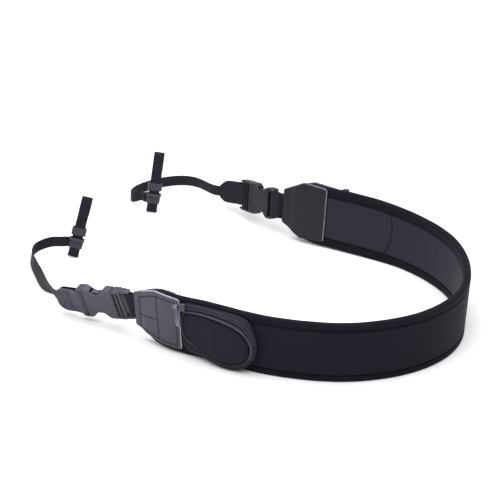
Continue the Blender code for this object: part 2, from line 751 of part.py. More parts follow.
def male_buckle(end):
    """The male half: a bar between two rails, a shoulder and two prongs."""
    name = end.name("male_buckle")
    wide, thick = BUCKLE_WIDTH / 2, BUCKLE_THICK / 2
    low, high = MALE_SHOULDER
    body = box(name, (low, -wide, -thick), (high, wide, thick), "buckle_plastic", 0.9 * MM)
    pieces = [cylinder("bar", (0, -RAIL_INNER - 1.0 * MM, 0), (0, RAIL_INNER + 1.0 * MM, 0),
                       MALE_BAR_RADIUS, 10, "buckle_plastic")]
    for side in (-1, 1):
        rail = [(row.x * MM, side * row.half * MM) for row in MALE_RAIL_OUTLINE]
        rail += [(low + 1.2 * MM, side * wide), (low + 1.2 * MM, side * RAIL_INNER),
                 (rail[0][0] + 0.2 * MM, side * RAIL_INNER)]
        pieces.append(plate("rail", rail, RAIL_THICK / 2, 0.5 * MM, "buckle_plastic"))
        arm = sorted((side * PRONG_INNER, side * PRONG_OUTER))
        pieces.append(box("prong", (high - 1.0 * MM, arm[0], -PRONG_THICK / 2),
                          (PRONG_REACH, arm[1], PRONG_THICK / 2), "buckle_plastic"))
        knob = sorted((side * (PRONG_INNER + 0.6 * MM), side * BUTTON[2]))
        pieces.append(box("button", (BUTTON[0], knob[0], -PRONG_THICK / 2 + 0.2 * MM),
                          (BUTTON[1], knob[1], PRONG_THICK / 2 - 0.2 * MM), "buckle_plastic"))
    pieces.append(box("guide", (high - 1.0 * MM, -GUIDE_WIDTH / 2, -PRONG_THICK / 2),
                      (GUIDE_REACH, GUIDE_WIDTH / 2, PRONG_THICK / 2), "buckle_plastic"))
    return place(combine(body, pieces, "UNION"), end.buckle)


def female_buckle(end):
    """The female half: a hollow body with waisted sides and a bar for the webbing."""
    name = end.name("female_buckle")
    upper = [(row.x * MM, row.half * MM) for row in FEMALE_OUTLINE]
    outline = upper + [(x, -half) for x, half in reversed(upper)]
    body = plate(name, outline, BUCKLE_THICK / 2, 1.0 * MM, "buckle_plastic")
    end_x, width, height = FEMALE_CAVITY
    tall = BUCKLE_THICK
    far = FEMALE_OUTLINE[-1].x * MM + 2.0 * MM
    cuts = [
        box("cavity", (FEMALE_START - 2.0 * MM, -width / 2, -height / 2),
            (end_x, width / 2, height / 2), "buckle_plastic"),
        box("slot", (FEMALE_SLOT[0], -RAIL_INNER, -tall), (FEMALE_SLOT[1], RAIL_INNER, tall),
            "buckle_plastic"),
    ]
    for side in (-1, 1):
        low, high = sorted((side * FEMALE_BAR_THICK / 2, side * tall))
        cuts.append(box("bar_relief", (FEMALE_SLOT[1] - 0.5 * MM, -RAIL_INNER, low),
                        (far, RAIL_INNER, high), "buckle_plastic"))
    return place(combine(body, cuts, "DIFFERENCE"), end.buckle)


def patch_half(x):
    """Half width of the patch, rounded towards its outer end."""
    start = PATCH_LENGTH - PATCH_ROUND
    if x <= start:
        return PATCH_HALF
    across = min((x - start) / PATCH_ROUND, 1.0)
    return PATCH_HALF - PATCH_ROUND * 0.86 * (1.0 - (1.0 - across ** 2) ** 0.5)


def patch_places():
    """Places along the patch, closer where its end is rounded."""
    start = PATCH_LENGTH - PATCH_ROUND
    return [start + PATCH_ROUND * share for share in (1.0, 0.96, 0.86, 0.7, 0.45, 0.0)]


def patch_webbing(end):
    """The fold of wide webbing round the buckle's farther bar."""
    upper = [(x, PATCH_LAYER) for x in patch_places()] + [(7.5 * MM, PATCH_LAYER)]
    turn = arc(0.0, PATCH_FOLD_RADIUS, 72.0, 288.0, 10)
    lower = [(x, -z) for x, z in reversed(upper)]
    rows = []
    for x, z in upper + turn + lower:
        half = patch_half(x) - PATCH_MARGIN
        rows.append([(x, -half, z), (x, half, z)])
    made = strip(end.name("patch_webbing"), rows, WEBBING_THICK, "webbing")
    return move_points(made, end.on_patch)


def leather_patch(end):
    """The leather patch on the fold's outer layer, tucked round the bar."""
    path = [(x, PATCH_LEATHER_LAYER) for x in patch_places()] + [(8.5 * MM, PATCH_LEATHER_LAYER)]
    path += arc(0.0, PATCH_LEATHER_RADIUS, 70.0, 205.0, 7)
    rows = [[(x, -patch_half(x), z), (x, patch_half(x), z)] for x, z in path]
    made = strip(end.name("leather_patch"), rows, PATCH_LEATHER_THICK, "leather")
    return move_points(made, end.on_patch)


def lug_frame(end):
    """The upright loop's matrix: x to the right, y away from the viewer, z up."""
    loop = LUG_LOOP[end.side]
    made = Matrix.Rotation(radians(loop.lean), 4, "Y")
    made.translation = (*plan(loop.x, loop.y), NARROW_WIDTH / 2 * sin(radians(loop.lean)))
    return made


def narrow_route(end):
    """The narrow webbing's middle line, from inside the patch to the slider."""
    lean = PATCH_LINK[end.side].lean
    rows = []
    for x, rise in NARROW_EXIT[end.side]:
        rows.append((*(end.patch @ Vector((x * MM, end.up * rise * MM, 0))), lean))
    for turn in NARROW_ROUTE[end.side]:
        rows.append((*plan(turn.x, turn.y), turn.z * MM, turn.lean))
    frame = lug_frame(end)
    height = LUG_TAIL + SLIDER_SIZE[1] / 2
    reach = SLIDER_SIZE[0] / 2
    middle = frame @ Vector((0.0, NARROW_BEHIND, height))
    for x in (-reach - 2.0 * MM, -reach + 1.0 * MM, 0.0, reach - 1.5 * MM):
        rows.append((middle.x + x, middle.y, middle.z - 0.9 * MM - 0.05 * x, 0.0))
    return Route(rows, -1 if end.front else 1)


def narrow_webbing(end):
    """The narrow webbing from the patch to the back of the slider."""
    route = narrow_route(end)
    rows = []
    for s in np.linspace(0.0, route.length, NARROW_STATIONS):
        rows.append([route.point(s, side * NARROW_WIDTH / 2, 0.0) for side in (-1, 1)])
    made = strip(end.name("narrow_webbing"), rows, NARROW_THICK, "webbing")
    return move_points(made, lambda x, y, z: (x, y, z))


def lug_loop(end):
    """The doubled narrow webbing: tail, front layer, open eye and back layer."""
    rise = LUG_HEIGHT - EYE_START
    path = [(-LUG_LAYER, 0.0), (-LUG_LAYER, 0.5 * EYE_START), (-LUG_LAYER, EYE_START)]
    path += [(-EYE_HALF * 0.72, EYE_START + 0.22 * rise), (-EYE_HALF, EYE_START + 0.45 * rise),
             (-EYE_HALF, EYE_START + 0.70 * rise), (-EYE_HALF * 0.66, EYE_START + 0.90 * rise),
             (-EYE_HALF * 0.2, LUG_HEIGHT)]
    tail = LUG_TAIL - 0.6 * MM
    mirrored = [(-depth, height) for depth, height in reversed(path[1:])]
    path = path + mirrored + [(LUG_LAYER, tail)]
    half = NARROW_WIDTH / 2
    rows = [[(-half, depth, height), (half, depth, height)] for depth, height in path]
    made = strip(end.name("lug_loop"), rows, NARROW_THICK, "webbing")
    move_points(made, lambda x, y, z: (x, y, z))
    return place(made, lug_frame(end))


def sleeve(end, name, size, height):
    """A flat sleeve that both layers of the lug loop pass through."""
    width, tall, depth = size
    body = box(end.name(name), (-width / 2, -depth / 2, height - tall / 2),
               (width / 2, depth / 2, height + tall / 2), "buckle_plastic", 0.7 * MM)
    wide, deep = SLEEVE_INNER
    cut = box("cut", (-wide / 2, -deep / 2, height - tall), (wide / 2, deep / 2, height + tall),
              "buckle_plastic")
    return place(combine(body, [cut], "DIFFERENCE"), lug_frame(end))


# ================================================================ the pocket
def closed_spline(values):
    """Second derivatives of a closed cubic spline through evenly spaced rows."""
    count = len(values)
    matrix = np.zeros((count, count))
    right = np.zeros_like(values)
    for i in range(count):
        matrix[i, i - 1] += 1.0
        matrix[i, i] += 4.0
        matrix[i, (i + 1) % count] += 1.0
        right[i] = 6.0 * (values[(i + 1) % count] - 2.0 * values[i] + values[i - 1])
    return np.linalg.solve(matrix, right)


POCKET_ROWS = np.array(POCKET_RIBS) * MM
POCKET_BENDS = closed_spline(POCKET_ROWS)


def rib_row(angle):
    """The rib at an angle, between the ones of the table."""
    count = len(POCKET_ROWS)
    place = (angle / (2 * pi) * count) % count
    i = int(place) % count
    j = (i + 1) % count
    b = place - int(place)
    a = 1.0 - b
    curve = ((a ** 3 - a) * POCKET_BENDS[i] + (b ** 3 - b) * POCKET_BENDS[j]) / 6.0
    return a * POCKET_ROWS[i] + b * POCKET_ROWS[j] + curve


def base_outline(angle):
    """Distance and height of the pocket's foot on the band, and its offset."""
    row = rib_row(angle)
    return row[0], row[1], POCKET_BASE


def panel_rise(x):
    """Height of the panel above the pocket's foot: low by the tab, full after it."""
    share = min(max((x - PANEL_START) / PANEL_CLIMB, 0.0), 1.0)
    return POCKET_RISE * (0.30 + 0.70 * share * share * (3.0 - 2.0 * share))


def panel_outline(angle, shrink=0.0):
    """Distance, height and offset of the panel's edge, or of a ring inside it."""
    row = rib_row(angle)
    x = row[2] + (PANEL_MIDDLE[0] - row[2]) * shrink
    y = row[3] + (PANEL_MIDDLE[1] - row[3]) * shrink
    return x, y, POCKET_BASE + panel_rise(x)


def wall_point(angle, share, lift=0.0):
    """A place on the bulging side wall between its foot and the panel."""
    foot, edge = np.array(base_outline(angle)), np.array(panel_outline(angle))
    slope = edge - foot
    flat = slope[:2] / max(np.linalg.norm(slope[:2]), 1e-9)
    outwards = np.array((*(-flat * slope[2]), np.linalg.norm(slope[:2])))
    low = (1.0 - sin(angle)) / 2
    bulge = WALL_BULGE[0] * (1.0 - low) + WALL_BULGE[1] * low
    bulge *= min(1.0, 1.5 - abs(3.0 * share - 1.5)) * slope[2] / POCKET_RISE
    return foot + slope * share + outwards / np.linalg.norm(outwards) * (bulge + lift)


def pocket_wall(end):
    """The sloping side wall between the band and the panel."""
    angles = np.linspace(0.0, 2 * pi, POCKET_POINTS, endpoint=False)
    bm = bmesh.new()
    rings = []
    for share in (0.0, 1 / 3, 2 / 3, 1.0):
        rings.append([bm.verts.new(wall_point(a, share)) for a in angles])
    for near, far in zip(rings, rings[1:]):
        for i in range(POCKET_POINTS):
            j = (i + 1) % POCKET_POINTS
            bm.faces.new((near[i], near[j], far[j], far[i]))
    made = add_object(end.name("pocket_wall"), bm, "pocket_cloth")
    solid = made.modifiers.new("thickness", "SOLIDIFY")
    solid.thickness = WALL_THICK
    solid.offset = 0.0
    bake(made)
    floor = BAND_EDGE / 2 + GAP * 1.8

    def on_band(x, y, z):
        point = end.on_band(x, y, max(z, floor))
        point.z = max(point.z, GAP)
        return point
    return move_points(made, on_band)


def pocket_panel(end):
    """The pocket's domed face."""
    angles = np.linspace(0.0, 2 * pi, POCKET_POINTS, endpoint=False)
    bm = bmesh.new()
    rings = []
    lift = (PANEL_THICK - WALL_THICK) / 2 + 0.3 * MM
    for inset, shrink, dome in ((PANEL_INSET, 0.0, 0.0), (0.0, 0.2, 0.55), (0.0, 0.5, 0.9)):
        ring = []
        for a in angles:
            x, y, z = panel_outline(a, shrink)
            x -= inset * cos(a)
            y -= inset * sin(a)
            ring.append(bm.verts.new((x, y, z + lift + dome * PANEL_DOME)))
        rings.append(ring)
    for near, far in zip(rings, rings[1:]):
        for i in range(POCKET_POINTS):
            j = (i + 1) % POCKET_POINTS
            bm.faces.new((near[i], near[j], far[j], far[i]))
    top = bm.verts.new((*PANEL_MIDDLE, POCKET_BASE + panel_rise(PANEL_MIDDLE[0]) + lift
                        + PANEL_DOME))
    for i in range(POCKET_POINTS):
        bm.faces.new((rings[-1][i], rings[-1][(i + 1) % POCKET_POINTS], top))
    made = add_object(end.name("pocket_panel"), bm, "neoprene")
    solid = made.modifiers.new("thickness", "SOLIDIFY")
    solid.thickness = PANEL_THICK
    solid.offset = 0.0
    bake(made)
    return move_points(made, end.on_band)


def zip_point(place, side, lift):
    """A place on the zip: side is -1 at its upper edge and 1 at its lower one."""
    angle = 2 * pi * place / POCKET_POINTS
    start, stop = ZIP_ARC
    middle = np.interp(place, (start, stop), ZIP_PLACE)
    foot, edge = np.array(base_outline(angle)), np.array(panel_outline(angle))
    reach = side * ZIP_WIDTH / 2 / np.linalg.norm(edge - foot)
    return wall_point(angle, middle + reach, WALL_THICK / 2 + GAP + lift)


def pocket_zip(end):
    """The zip's tape and teeth, lying on the upper part of the wall."""
    rows = []
    for place_on_arc in range(ZIP_ARC[0], ZIP_ARC[1] + 1):
        rows.append([zip_point(place_on_arc, side, ZIP_THICK) for side in (-1, 0, 1)])
    made = strip(end.name("pocket_zip"), rows, ZIP_THICK, "zip_teeth")
    return move_points(made, end.on_band)


def slider_frame(end):
    """The zip slider's matrix, with the pull's hinge along its x axis."""
    lift = ZIP_THICK * 1.5 + GAP + ZIP_BODY[2] / 2 + 1.0 * MM
    here = Vector(end.on_band(*zip_point(SLIDER_POINT, 0, lift)))
    inside = Vector(end.on_band(*zip_point(SLIDER_POINT, 0, 0.0)))
    behind = Vector(end.on_band(*zip_point(SLIDER_POINT - 2.0, 0, lift)))
    out = (here - inside).normalized()
    away = here - behind
    away = (away - out * away.dot(out)).normalized()
    made = Matrix((away, out.cross(away), out)).transposed().to_4x4()
    made.translation = here + away * ZIP_BODY[0] / 2
    return made


def zip_slider(end):
    """The zip's slider, with the pin that its pull hangs on."""
    long, wide, thick = ZIP_BODY
    name = end.name("zip_slider")
    body = box(name, (-long, -wide / 2, -thick / 2 - 0.6 * MM), (0, wide / 2, thick / 2),
               "zip_metal", 0.7 * MM)
    pin = cylinder("pin", (-0.8 * MM, 0, 0), (ZIP_PIN_REACH, 0, 0), ZIP_PIN_RADIUS, 10,
                   "zip_metal")
    head = cylinder("head", (ZIP_PIN_REACH - 0.7 * MM, 0, 0), (ZIP_PIN_REACH, 0, 0),
                    ZIP_PIN_RADIUS * 1.9, 10, "zip_metal")
    return place(combine(body, [pin, head], "UNION"), slider_frame(end))


def pull_frame(end):
    """The pull's matrix: x along its hinge, z up, hanging straight down."""
    frame = slider_frame(end)
    along = frame.col[0].to_3d()
    down = Vector((0, 0, -1))
    down = (down - along * down.dot(along)).normalized()
    made = Matrix((along, (-down).cross(along), -down)).transposed().to_4x4()
    made.translation = frame.translation
    return made


def zip_pull(end):
    """The pull tab, which hangs on the slider's pin and swings about it."""
    name = end.name("zip_pull")
    start = 0.35 * MM
    stop = start + PULL_WIDTH
    eye = cylinder(name, (start, 0, 0), (stop, 0, 0), PULL_EYE, 14, "zip_metal")
    tab = box("tab", (start, -PULL_THICK / 2, -PULL_LENGTH), (stop, PULL_THICK / 2, -PULL_BORE),
              "zip_metal", 0.35 * MM)
    combine(eye, [tab], "UNION")
    bore = cylinder("bore", (start - 1.0 * MM, 0, 0), (stop + 1.0 * MM, 0, 0), PULL_BORE, 12,
                    "zip_metal")
    return place(combine(eye, [bore], "DIFFERENCE"), pull_frame(end))


# ================================================================ assembly
def build():
    """Builds the whole strap."""
    for old in list(bpy.data.objects):
        bpy.data.objects.remove(old)
    belt = belt_route()
    shoulder_pad(belt)
    edge_binding(belt, "top_edge_binding", 1)
    edge_binding(belt, "bottom_edge_binding", -1)
    for side in ("front", "back"):
        end = End(side, belt)
        end_tab(end, 1)
        end_tab(end, -1)
        webbing_loop(end)
        male_buckle(end)
        female_buckle(end)
        patch_webbing(end)
        leather_patch(end)
        narrow_webbing(end)
        lug_loop(end)
        sleeve(end, "strap_slider", SLIDER_SIZE, LUG_TAIL + SLIDER_SIZE[1] / 2)
        sleeve(end, "strap_keeper", KEEPER_SIZE, KEEPER_HEIGHT)
        pocket_wall(end)
        pocket_panel(end)
        pocket_zip(end)
        zip_slider(end)
        zip_pull(end)


build()
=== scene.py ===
"""Looks, stage, light and camera of a camera neck strap, dressed over its CAD frame.

Flat pieces are modelled lying down, in the coordinates of what carries them:
along the piece, across it, and out of its face.  They are then laid on the band,
a buckle or a run of webbing.  Everything is in metres, with +Z up.
"""
from __future__ import annotations

import logging
from collections.abc import Callable, Iterator, Sequence
from contextlib import contextmanager
from dataclasses import dataclass, field
from enum import Enum
from math import cos, pi, radians, sin, tau

import bpy
import numpy as np
from mathutils import Matrix, Vector

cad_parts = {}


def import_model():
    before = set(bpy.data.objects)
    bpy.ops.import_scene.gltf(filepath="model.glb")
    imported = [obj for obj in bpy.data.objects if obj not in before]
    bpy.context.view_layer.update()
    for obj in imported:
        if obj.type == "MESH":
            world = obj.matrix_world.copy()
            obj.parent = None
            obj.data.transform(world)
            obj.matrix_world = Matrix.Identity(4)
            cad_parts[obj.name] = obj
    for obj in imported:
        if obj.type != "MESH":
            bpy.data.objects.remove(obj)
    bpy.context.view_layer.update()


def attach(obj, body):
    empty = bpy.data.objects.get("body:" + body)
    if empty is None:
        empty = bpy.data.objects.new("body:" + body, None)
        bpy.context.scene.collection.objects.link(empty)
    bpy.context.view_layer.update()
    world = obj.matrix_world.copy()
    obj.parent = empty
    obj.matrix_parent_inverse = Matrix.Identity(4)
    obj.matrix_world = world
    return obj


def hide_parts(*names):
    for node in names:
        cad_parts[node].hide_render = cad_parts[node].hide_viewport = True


LOG = logging.getLogger("camera_neck_strap")
MM = 0.001
UV_UNIT = 10.0 * MM        # one unit of every UV map
WELD = 0.004 * MM          # vertices closer than this are one
CLOSING_WELD = 0.001 * MM  # and where a woven tube closes
PAST = 1.0 * MM            # how far a tool runs past the face that it joins or cuts
WEBBING_EDGE = 0.35 * MM   # rounding of the edges of all webbing
FOOTPRINT_CENTRE = (-5.04, -66.07)  # in millimetres

Array = np.ndarray
Mapping = Callable[[Array], Array]
Object = bpy.types.Object
Socket = bpy.types.NodeSocket


def mm(*values: float) -> tuple[float, ...]:
    """Some lengths in millimetres, as metres."""
    return tuple(value * MM for value in values)


class Side(Enum):
    """The two ends of the strap."""

    FRONT = "front"
    BACK = "back"


class Slot(Enum):
    """The material slots."""

    NEOPRENE = "padded_neoprene"
    BINDING = "binding_cloth"
    LEATHER = "leather"
    POCKET = "pocket_cloth"
    WEBBING = "webbing"
    PLASTIC = "buckle_plastic"
    COIL = "zip_coil"
    METAL = "zip_metal"


class Pattern(Enum):
    """The surface that a finish repeats."""

    KNIT = "knit"
    RIB = "rib"
    WEAVE = "weave"
    GRAIN = "grain"
    MOULDED = "moulded"
    TWIST = "twist"


# ================================================================ modelling by hand
def at_rest() -> None:
    """Leaves edit mode and deselects everything."""
    active = bpy.context.view_layer.objects.active
    if active is not None and active.mode != "OBJECT":
        bpy.ops.object.mode_set(mode="OBJECT")
    bpy.ops.object.select_all(action="DESELECT")


def hold(made: Object) -> Object:
    """Makes one object active and the only one selected."""
    at_rest()
    made.select_set(True)
    bpy.context.view_layer.objects.active = made
    return made


@contextmanager
def editing(made: Object, kind: str = "FACE", everything: bool = False) -> Iterator[None]:
    """Edit mode on one object.

    Args:
        made: The object.
        kind: VERT, EDGE or FACE, what the operators select.
        everything: Selects all of it instead of what is flagged already.
    """
    hold(made)
    bpy.ops.object.mode_set(mode="EDIT")
    bpy.ops.mesh.select_mode(type=kind)
    if everything:
        bpy.ops.mesh.select_all(action="SELECT")
    yield
    bpy.ops.object.mode_set(mode="OBJECT")


def flag_faces(made: Object, test: Callable[[Vector, Vector], bool]) -> None:
    """Flags the faces whose middle and normal pass a test, and nothing else."""
    mesh = made.data
    mesh.vertices.foreach_set("select", np.zeros(len(mesh.vertices), bool))
    mesh.edges.foreach_set("select", np.zeros(len(mesh.edges), bool))
    for face in mesh.polygons:
        face.select = test(face.center, face.normal)


def named(name: str) -> Object:
    """The primitive just added, under its own name."""
    made = bpy.context.view_layer.objects.active
    made.name = name
    made.data.name = name
    return made


def linked(name: str, data: bpy.types.ID) -> Object:
    """A new object with its data, in the scene."""
    made = bpy.data.objects.new(name, data)
    bpy.context.scene.collection.objects.link(made)
    return made


def settle(made: Object) -> Object:
    """Puts an object's place, turn and size into its mesh."""
    hold(made)
    bpy.ops.object.transform_apply(location=True, rotation=True, scale=True)
    return made


def finish_modifiers(made: Object) -> Object:
    """Applies every modifier in order."""
    hold(made)
    for change in list(made.modifiers):
        bpy.ops.object.modifier_apply(modifier=change.name)
    return made


def block(name: str, first: Sequence[float], second: Sequence[float]) -> Object:
    """A cube primitive between two opposite corners."""
    at_rest()
    low, high = (tuple(map(pick, first, second)) for pick in (min, max))
    size = Vector(high) - Vector(low)
    bpy.ops.mesh.primitive_cube_add(size=1.0, location=(Vector(high) + Vector(low)) / 2)
    made = named(name)
    made.scale = size
    return settle(made)


def rod(name: str, start: Sequence[float], end: Sequence[float], radius: float,
        sides: int = 32) -> Object:
    """A cylinder primitive between two points."""
    at_rest()
    first, last = Vector(start), Vector(end)
    turn = Vector((0, 0, 1)).rotation_difference(last - first).to_euler()
    bpy.ops.mesh.primitive_cylinder_add(vertices=sides, radius=radius, depth=(last - first).length,
                                        location=(first + last) / 2, rotation=turn)
    return settle(named(name))


def plate(name: str, outline: Array, half_thick: float, rounding: float) -> Object:
    """A filled 2D curve with depth both ways and rounded edges, as a closed mesh."""
    at_rest()
    curve = bpy.data.curves.new(name, "CURVE")
    curve.dimensions = "2D"
    curve.fill_mode = "BOTH"
    curve.extrude = half_thick - rounding
    curve.bevel_depth = rounding
    curve.bevel_resolution = 3
    curve.offset = -rounding
    path = curve.splines.new("POLY")
    path.points.add(len(outline) - 1)
    for point, (x, y) in zip(path.points, outline):
        point.co = (x, y, 0.0, 1.0)
    path.use_cyclic_u = True
    hold(linked(name, curve))
    bpy.ops.object.convert(target="MESH")
    made = named(name)
    with editing(made, "VERT", everything=True):
        bpy.ops.mesh.remove_doubles(threshold=WELD)
        bpy.ops.mesh.select_all(action="SELECT")
        bpy.ops.mesh.normals_make_consistent(inside=False)
    return made


def soften(made: Object, width: float, segments: int = 3, angle: float = 40.0) -> Object:
    """Rounds the edges that turn more sharply than an angle in degrees."""
    change = made.modifiers.new("soften", "BEVEL")
    change.width = width
    change.segments = segments
    change.limit_method = "ANGLE"
    change.angle_limit = radians(angle)
    return finish_modifiers(made)


def thicken(made: Object, thick: float, offset: float = 0.0) -> Object:
    """Gives a sheet its thickness."""
    change = made.modifiers.new("thickness", "SOLIDIFY")
    change.thickness = thick
    change.offset = offset
    change.use_even_offset = True
    return finish_modifiers(made)


def combine(base: Object, tools: Sequence[Object], operation: str) -> Object:
    """Joins or cuts a base with tools, which are used up, and merges what is left over."""
    for tool in tools:
        change = base.modifiers.new("combine", "BOOLEAN")
        change.operation = operation
        change.solver = "EXACT"
        change.object = tool
        finish_modifiers(base)
        bpy.data.objects.remove(tool)
    with editing(base, "VERT", everything=True):
        bpy.ops.mesh.remove_doubles(threshold=WELD)
        bpy.ops.mesh.dissolve_limited(angle_limit=radians(0.5))
    return base


def join(pieces: Sequence[Object], name: str) -> Object:
    """Several objects as one."""
    at_rest()
    for piece in pieces:
        piece.select_set(True)
    bpy.context.view_layer.objects.active = pieces[0]
    if len(pieces) > 1:
        bpy.ops.object.join()
    return named(name)


# ================================================================ meshes as rows of numbers
def grab(items: bpy.types.bpy_prop_collection, key: str, width: int = 1,
         kind: type = float) -> Array:
    """A value of every item, as numbers or as rows of them."""
    flat = np.empty(len(items) * width, kind)
    items.foreach_get(key, flat)
    return flat.reshape(-1, width) if width > 1 else flat


def corners(made: Object) -> Array:
    """Every vertex place, one row each."""
    return grab(made.data.vertices, "co", 3)


def move(made: Object, places: Array) -> None:
    """Puts every vertex at its row."""
    made.data.vertices.foreach_set("co", np.ascontiguousarray(places, dtype=float).ravel())
    made.data.update()


def volume(made: Object) -> float:
    """The signed volume, which is negative when the faces point inwards."""
    mesh = made.data
    mesh.calc_loop_triangles()
    index = grab(mesh.loop_triangles, "vertices", 3, int)
    a, b, c = (corners(made)[index[:, k]] for k in range(3))
    return float(np.einsum("ij,ij->i", a, np.cross(b, c)).sum() / 6.0)


def lay(made: Object, mapping: Mapping) -> Object:
    """Moves a flat piece to where the mapping puts it, with its faces outwards."""
    move(made, mapping(corners(made)))
    if volume(made) < 0.0:
        made.data.flip_normals()
    return made


def stand(made: Object, matrix: Matrix) -> Object:
    """Puts a moulded or cast piece where a matrix says, and marks its edges."""
    return mark_edges(lay(made, lambda flat: through_matrix(matrix, flat)), 0.5)


def copies(name: str, model: tuple, spots: Sequence[tuple[Array, Array]]) -> Object:
    """A mesh of copies of one small piece, each with its own turn and middle."""
    base, faces = model
    places = [base @ turn + middle for turn, middle in spots]
    cells = [[n * len(base) + k for k in face] for n in range(len(spots)) for face in faces]
    mesh = bpy.data.meshes.new(name)
    mesh.from_pydata(np.concatenate(places).tolist(), [], cells)
    return flat_uv(linked(name, mesh))


def mark(made: Object, name: str, values: Array) -> None:
    """Stores one number for each vertex, for the finishes to read."""
    found = made.data.attributes.get(name)
    found = found or made.data.attributes.new(name, "FLOAT", "POINT")
    found.data.foreach_set("value", np.ascontiguousarray(values, dtype=np.float32))


def write_uv(made: Object, rows: Array) -> None:
    """Gives each corner of each face the UV of its vertex, in metres."""
    mesh = made.data
    layer = mesh.uv_layers.active or mesh.uv_layers.new(name="flat")
    index = grab(mesh.loops, "vertex_index", kind=int)
    layer.data.foreach_set("uv", (rows[index] / UV_UNIT).ravel())


def read_uv(made: Object) -> Array:
    """The UV of each vertex, in metres."""
    mesh = made.data
    rows = np.zeros((len(mesh.vertices), 2))
    index = grab(mesh.loops, "vertex_index", kind=int)
    rows[index] = grab(mesh.uv_layers.active.data, "uv", 2) * UV_UNIT
    return rows


def flat_uv(made: Object) -> Object:
    """Takes the UV map from the flat piece's own length and width."""
    write_uv(made, corners(made)[:, :2])
    return made


def mark_edges(made: Object, reach: float) -> Object:
    """Marks outer edges and corners from how far each vertex stands over its neighbours, for wear and
    painted highlight.
    """
    mesh = made.data
    places = corners(made)
    normals = grab(mesh.vertex_normals, "vector", 3)
    pairs = grab(mesh.edges, "vertices", 2, int)
    step = unit(places[pairs[:, 1]] - places[pairs[:, 0]])
    drop = np.zeros(len(places))
    count = np.zeros(len(places))
    for near, sign in ((0, 1.0), (1, -1.0)):
        np.add.at(drop, pairs[:, near], -sign * np.einsum("ij,ij->i", step, normals[pairs[:, near]]))
        np.add.at(count, pairs[:, near], 1.0)
    mark(made, "edge", np.clip(drop / np.maximum(count, 1.0) / reach, 0.0, 1.0))
    return made


def paint_rim_highlight(made: Object, inside: Array, width: float, fade: float) -> Object:
    """Marks a flat piece's rim for a painted highlight, from how far each vertex lies inside its
    outline.
    """
    mark(made, "edge", np.clip((width - inside) / fade, 0.0, 1.0))
    return made


def unit(rows: Array) -> Array:
    """Rows made one long."""
    return rows / np.maximum(np.linalg.norm(rows, axis=-1, keepdims=True), 1e-12)


def run_lengths(rows: Array) -> Array:
    """The length along some rows of places, up to each of them."""
    return np.concatenate(([0.0], np.cumsum(np.linalg.norm(np.diff(rows, axis=0), axis=1))))


def waves(along: Array, rows: Sequence[tuple]) -> Array:
    """Soft waves added up, each with its height, its length in millimetres and its start."""
    return sum(height * np.sin(along / (length * MM) + start) for height, length, start in rows)


def hump(distance: Array, width: float) -> Array:
    """1 at no distance, and less away from it."""
    return np.exp(-(distance / width) ** 2)


def spread(along: Array, across: Array) -> Array:
    """Rows x columns x 2 flat places, from the lengths of the rows and the columns."""
    return np.stack(np.broadcast_arrays(along[:, None], across), -1)


def smoothstep(values: Array, start: float, stop: float) -> Array:
    """0 before the start, 1 after the stop, and smooth between them."""
    share = np.clip((values - start) / (stop - start), 0.0, 1.0)
    return share * share * (3.0 - 2.0 * share)


def woven(name: str, places: Array, uv: Array, closed: bool = False) -> Object:
    """A grid primitive whose rows and columns take their places from a table.

    Args:
        name: The object's name.
        places: Rows x columns x 3 places.
        uv: Rows x columns x 2 flat places, in metres.
        closed: The last column meets the first one, and both ends are filled.

    Returns:
        The new object.
    """
    rows, columns = places.shape[:2]
    at_rest()
    bpy.ops.mesh.primitive_grid_add(x_subdivisions=rows - 1, y_subdivisions=columns - 1, size=1.0)
    made = named(name)
    flat = corners(made)
    i = np.rint((flat[:, 0] + 0.5) * (rows - 1)).astype(int)
    j = np.rint((flat[:, 1] + 0.5) * (columns - 1)).astype(int)
    write_uv(made, uv[i, j])
    move(made, places[i, j])
    if closed:
        with editing(made, "VERT", everything=True):
            bpy.ops.mesh.remove_doubles(threshold=CLOSING_WELD)
            bpy.ops.mesh.select_all(action="SELECT")
            bpy.ops.mesh.fill_holes(sides=0)
    if volume(made) < 0.0:
        made.data.flip_normals()
    return made


def ribbon(name: str, along: Array, half: Mapping, thick: float, columns: int,
           edge: float, centre: Mapping | None = None) -> Object:
    """A flat strip along +X with its thickness and soft edges.

    Args:
        name: The object's name.
        along: The places of its rows.
        half: Gives half its width at those places.
        thick: Its thickness, half of it each way.
        columns: How many vertices it has across.
        edge: How far its edges are rounded.
        centre: Gives the middle of its width at those places, where it isn't zero.

    Returns:
        The new object, lying flat.
    """
    across = np.linspace(-1.0, 1.0, columns)
    width = half(along)
    table = np.zeros((len(along), columns, 3))
    table[..., 0] = along[:, None]
    table[..., 1] = width[:, None] * across
    if centre is not None:
        table[..., 1] += centre(along)[:, None]
    made = woven(name, table, table[..., :2])
    thicken(made, thick)
    soften(made, edge, 2, 60.0)
    return flat_uv(made)


def webbing_run(name: str, line: Line, cells: tuple, width: float, thick: float) -> Object:
    """A flat run of webbing as long as a line, with some rows and columns."""
    return ribbon(name, np.linspace(0.0, line.length, cells[0]),
                  lambda along: np.full(len(along), width / 2), thick, cells[1], WEBBING_EDGE)


def distance_to(lines: Sequence[Array], places: Array) -> Array:
    """How far flat places are from the nearest of some polylines."""
    nearest = np.full(len(places), 1.0)
    for line in lines:
        for start, stop in zip(line, line[1:]):
            way = stop - start
            share = np.clip((places - start) @ way / max(way @ way, 1e-12), 0.0, 1.0)
            nearest = np.minimum(nearest, np.linalg.norm(places - start - share[:, None] * way, axis=1))
    return nearest


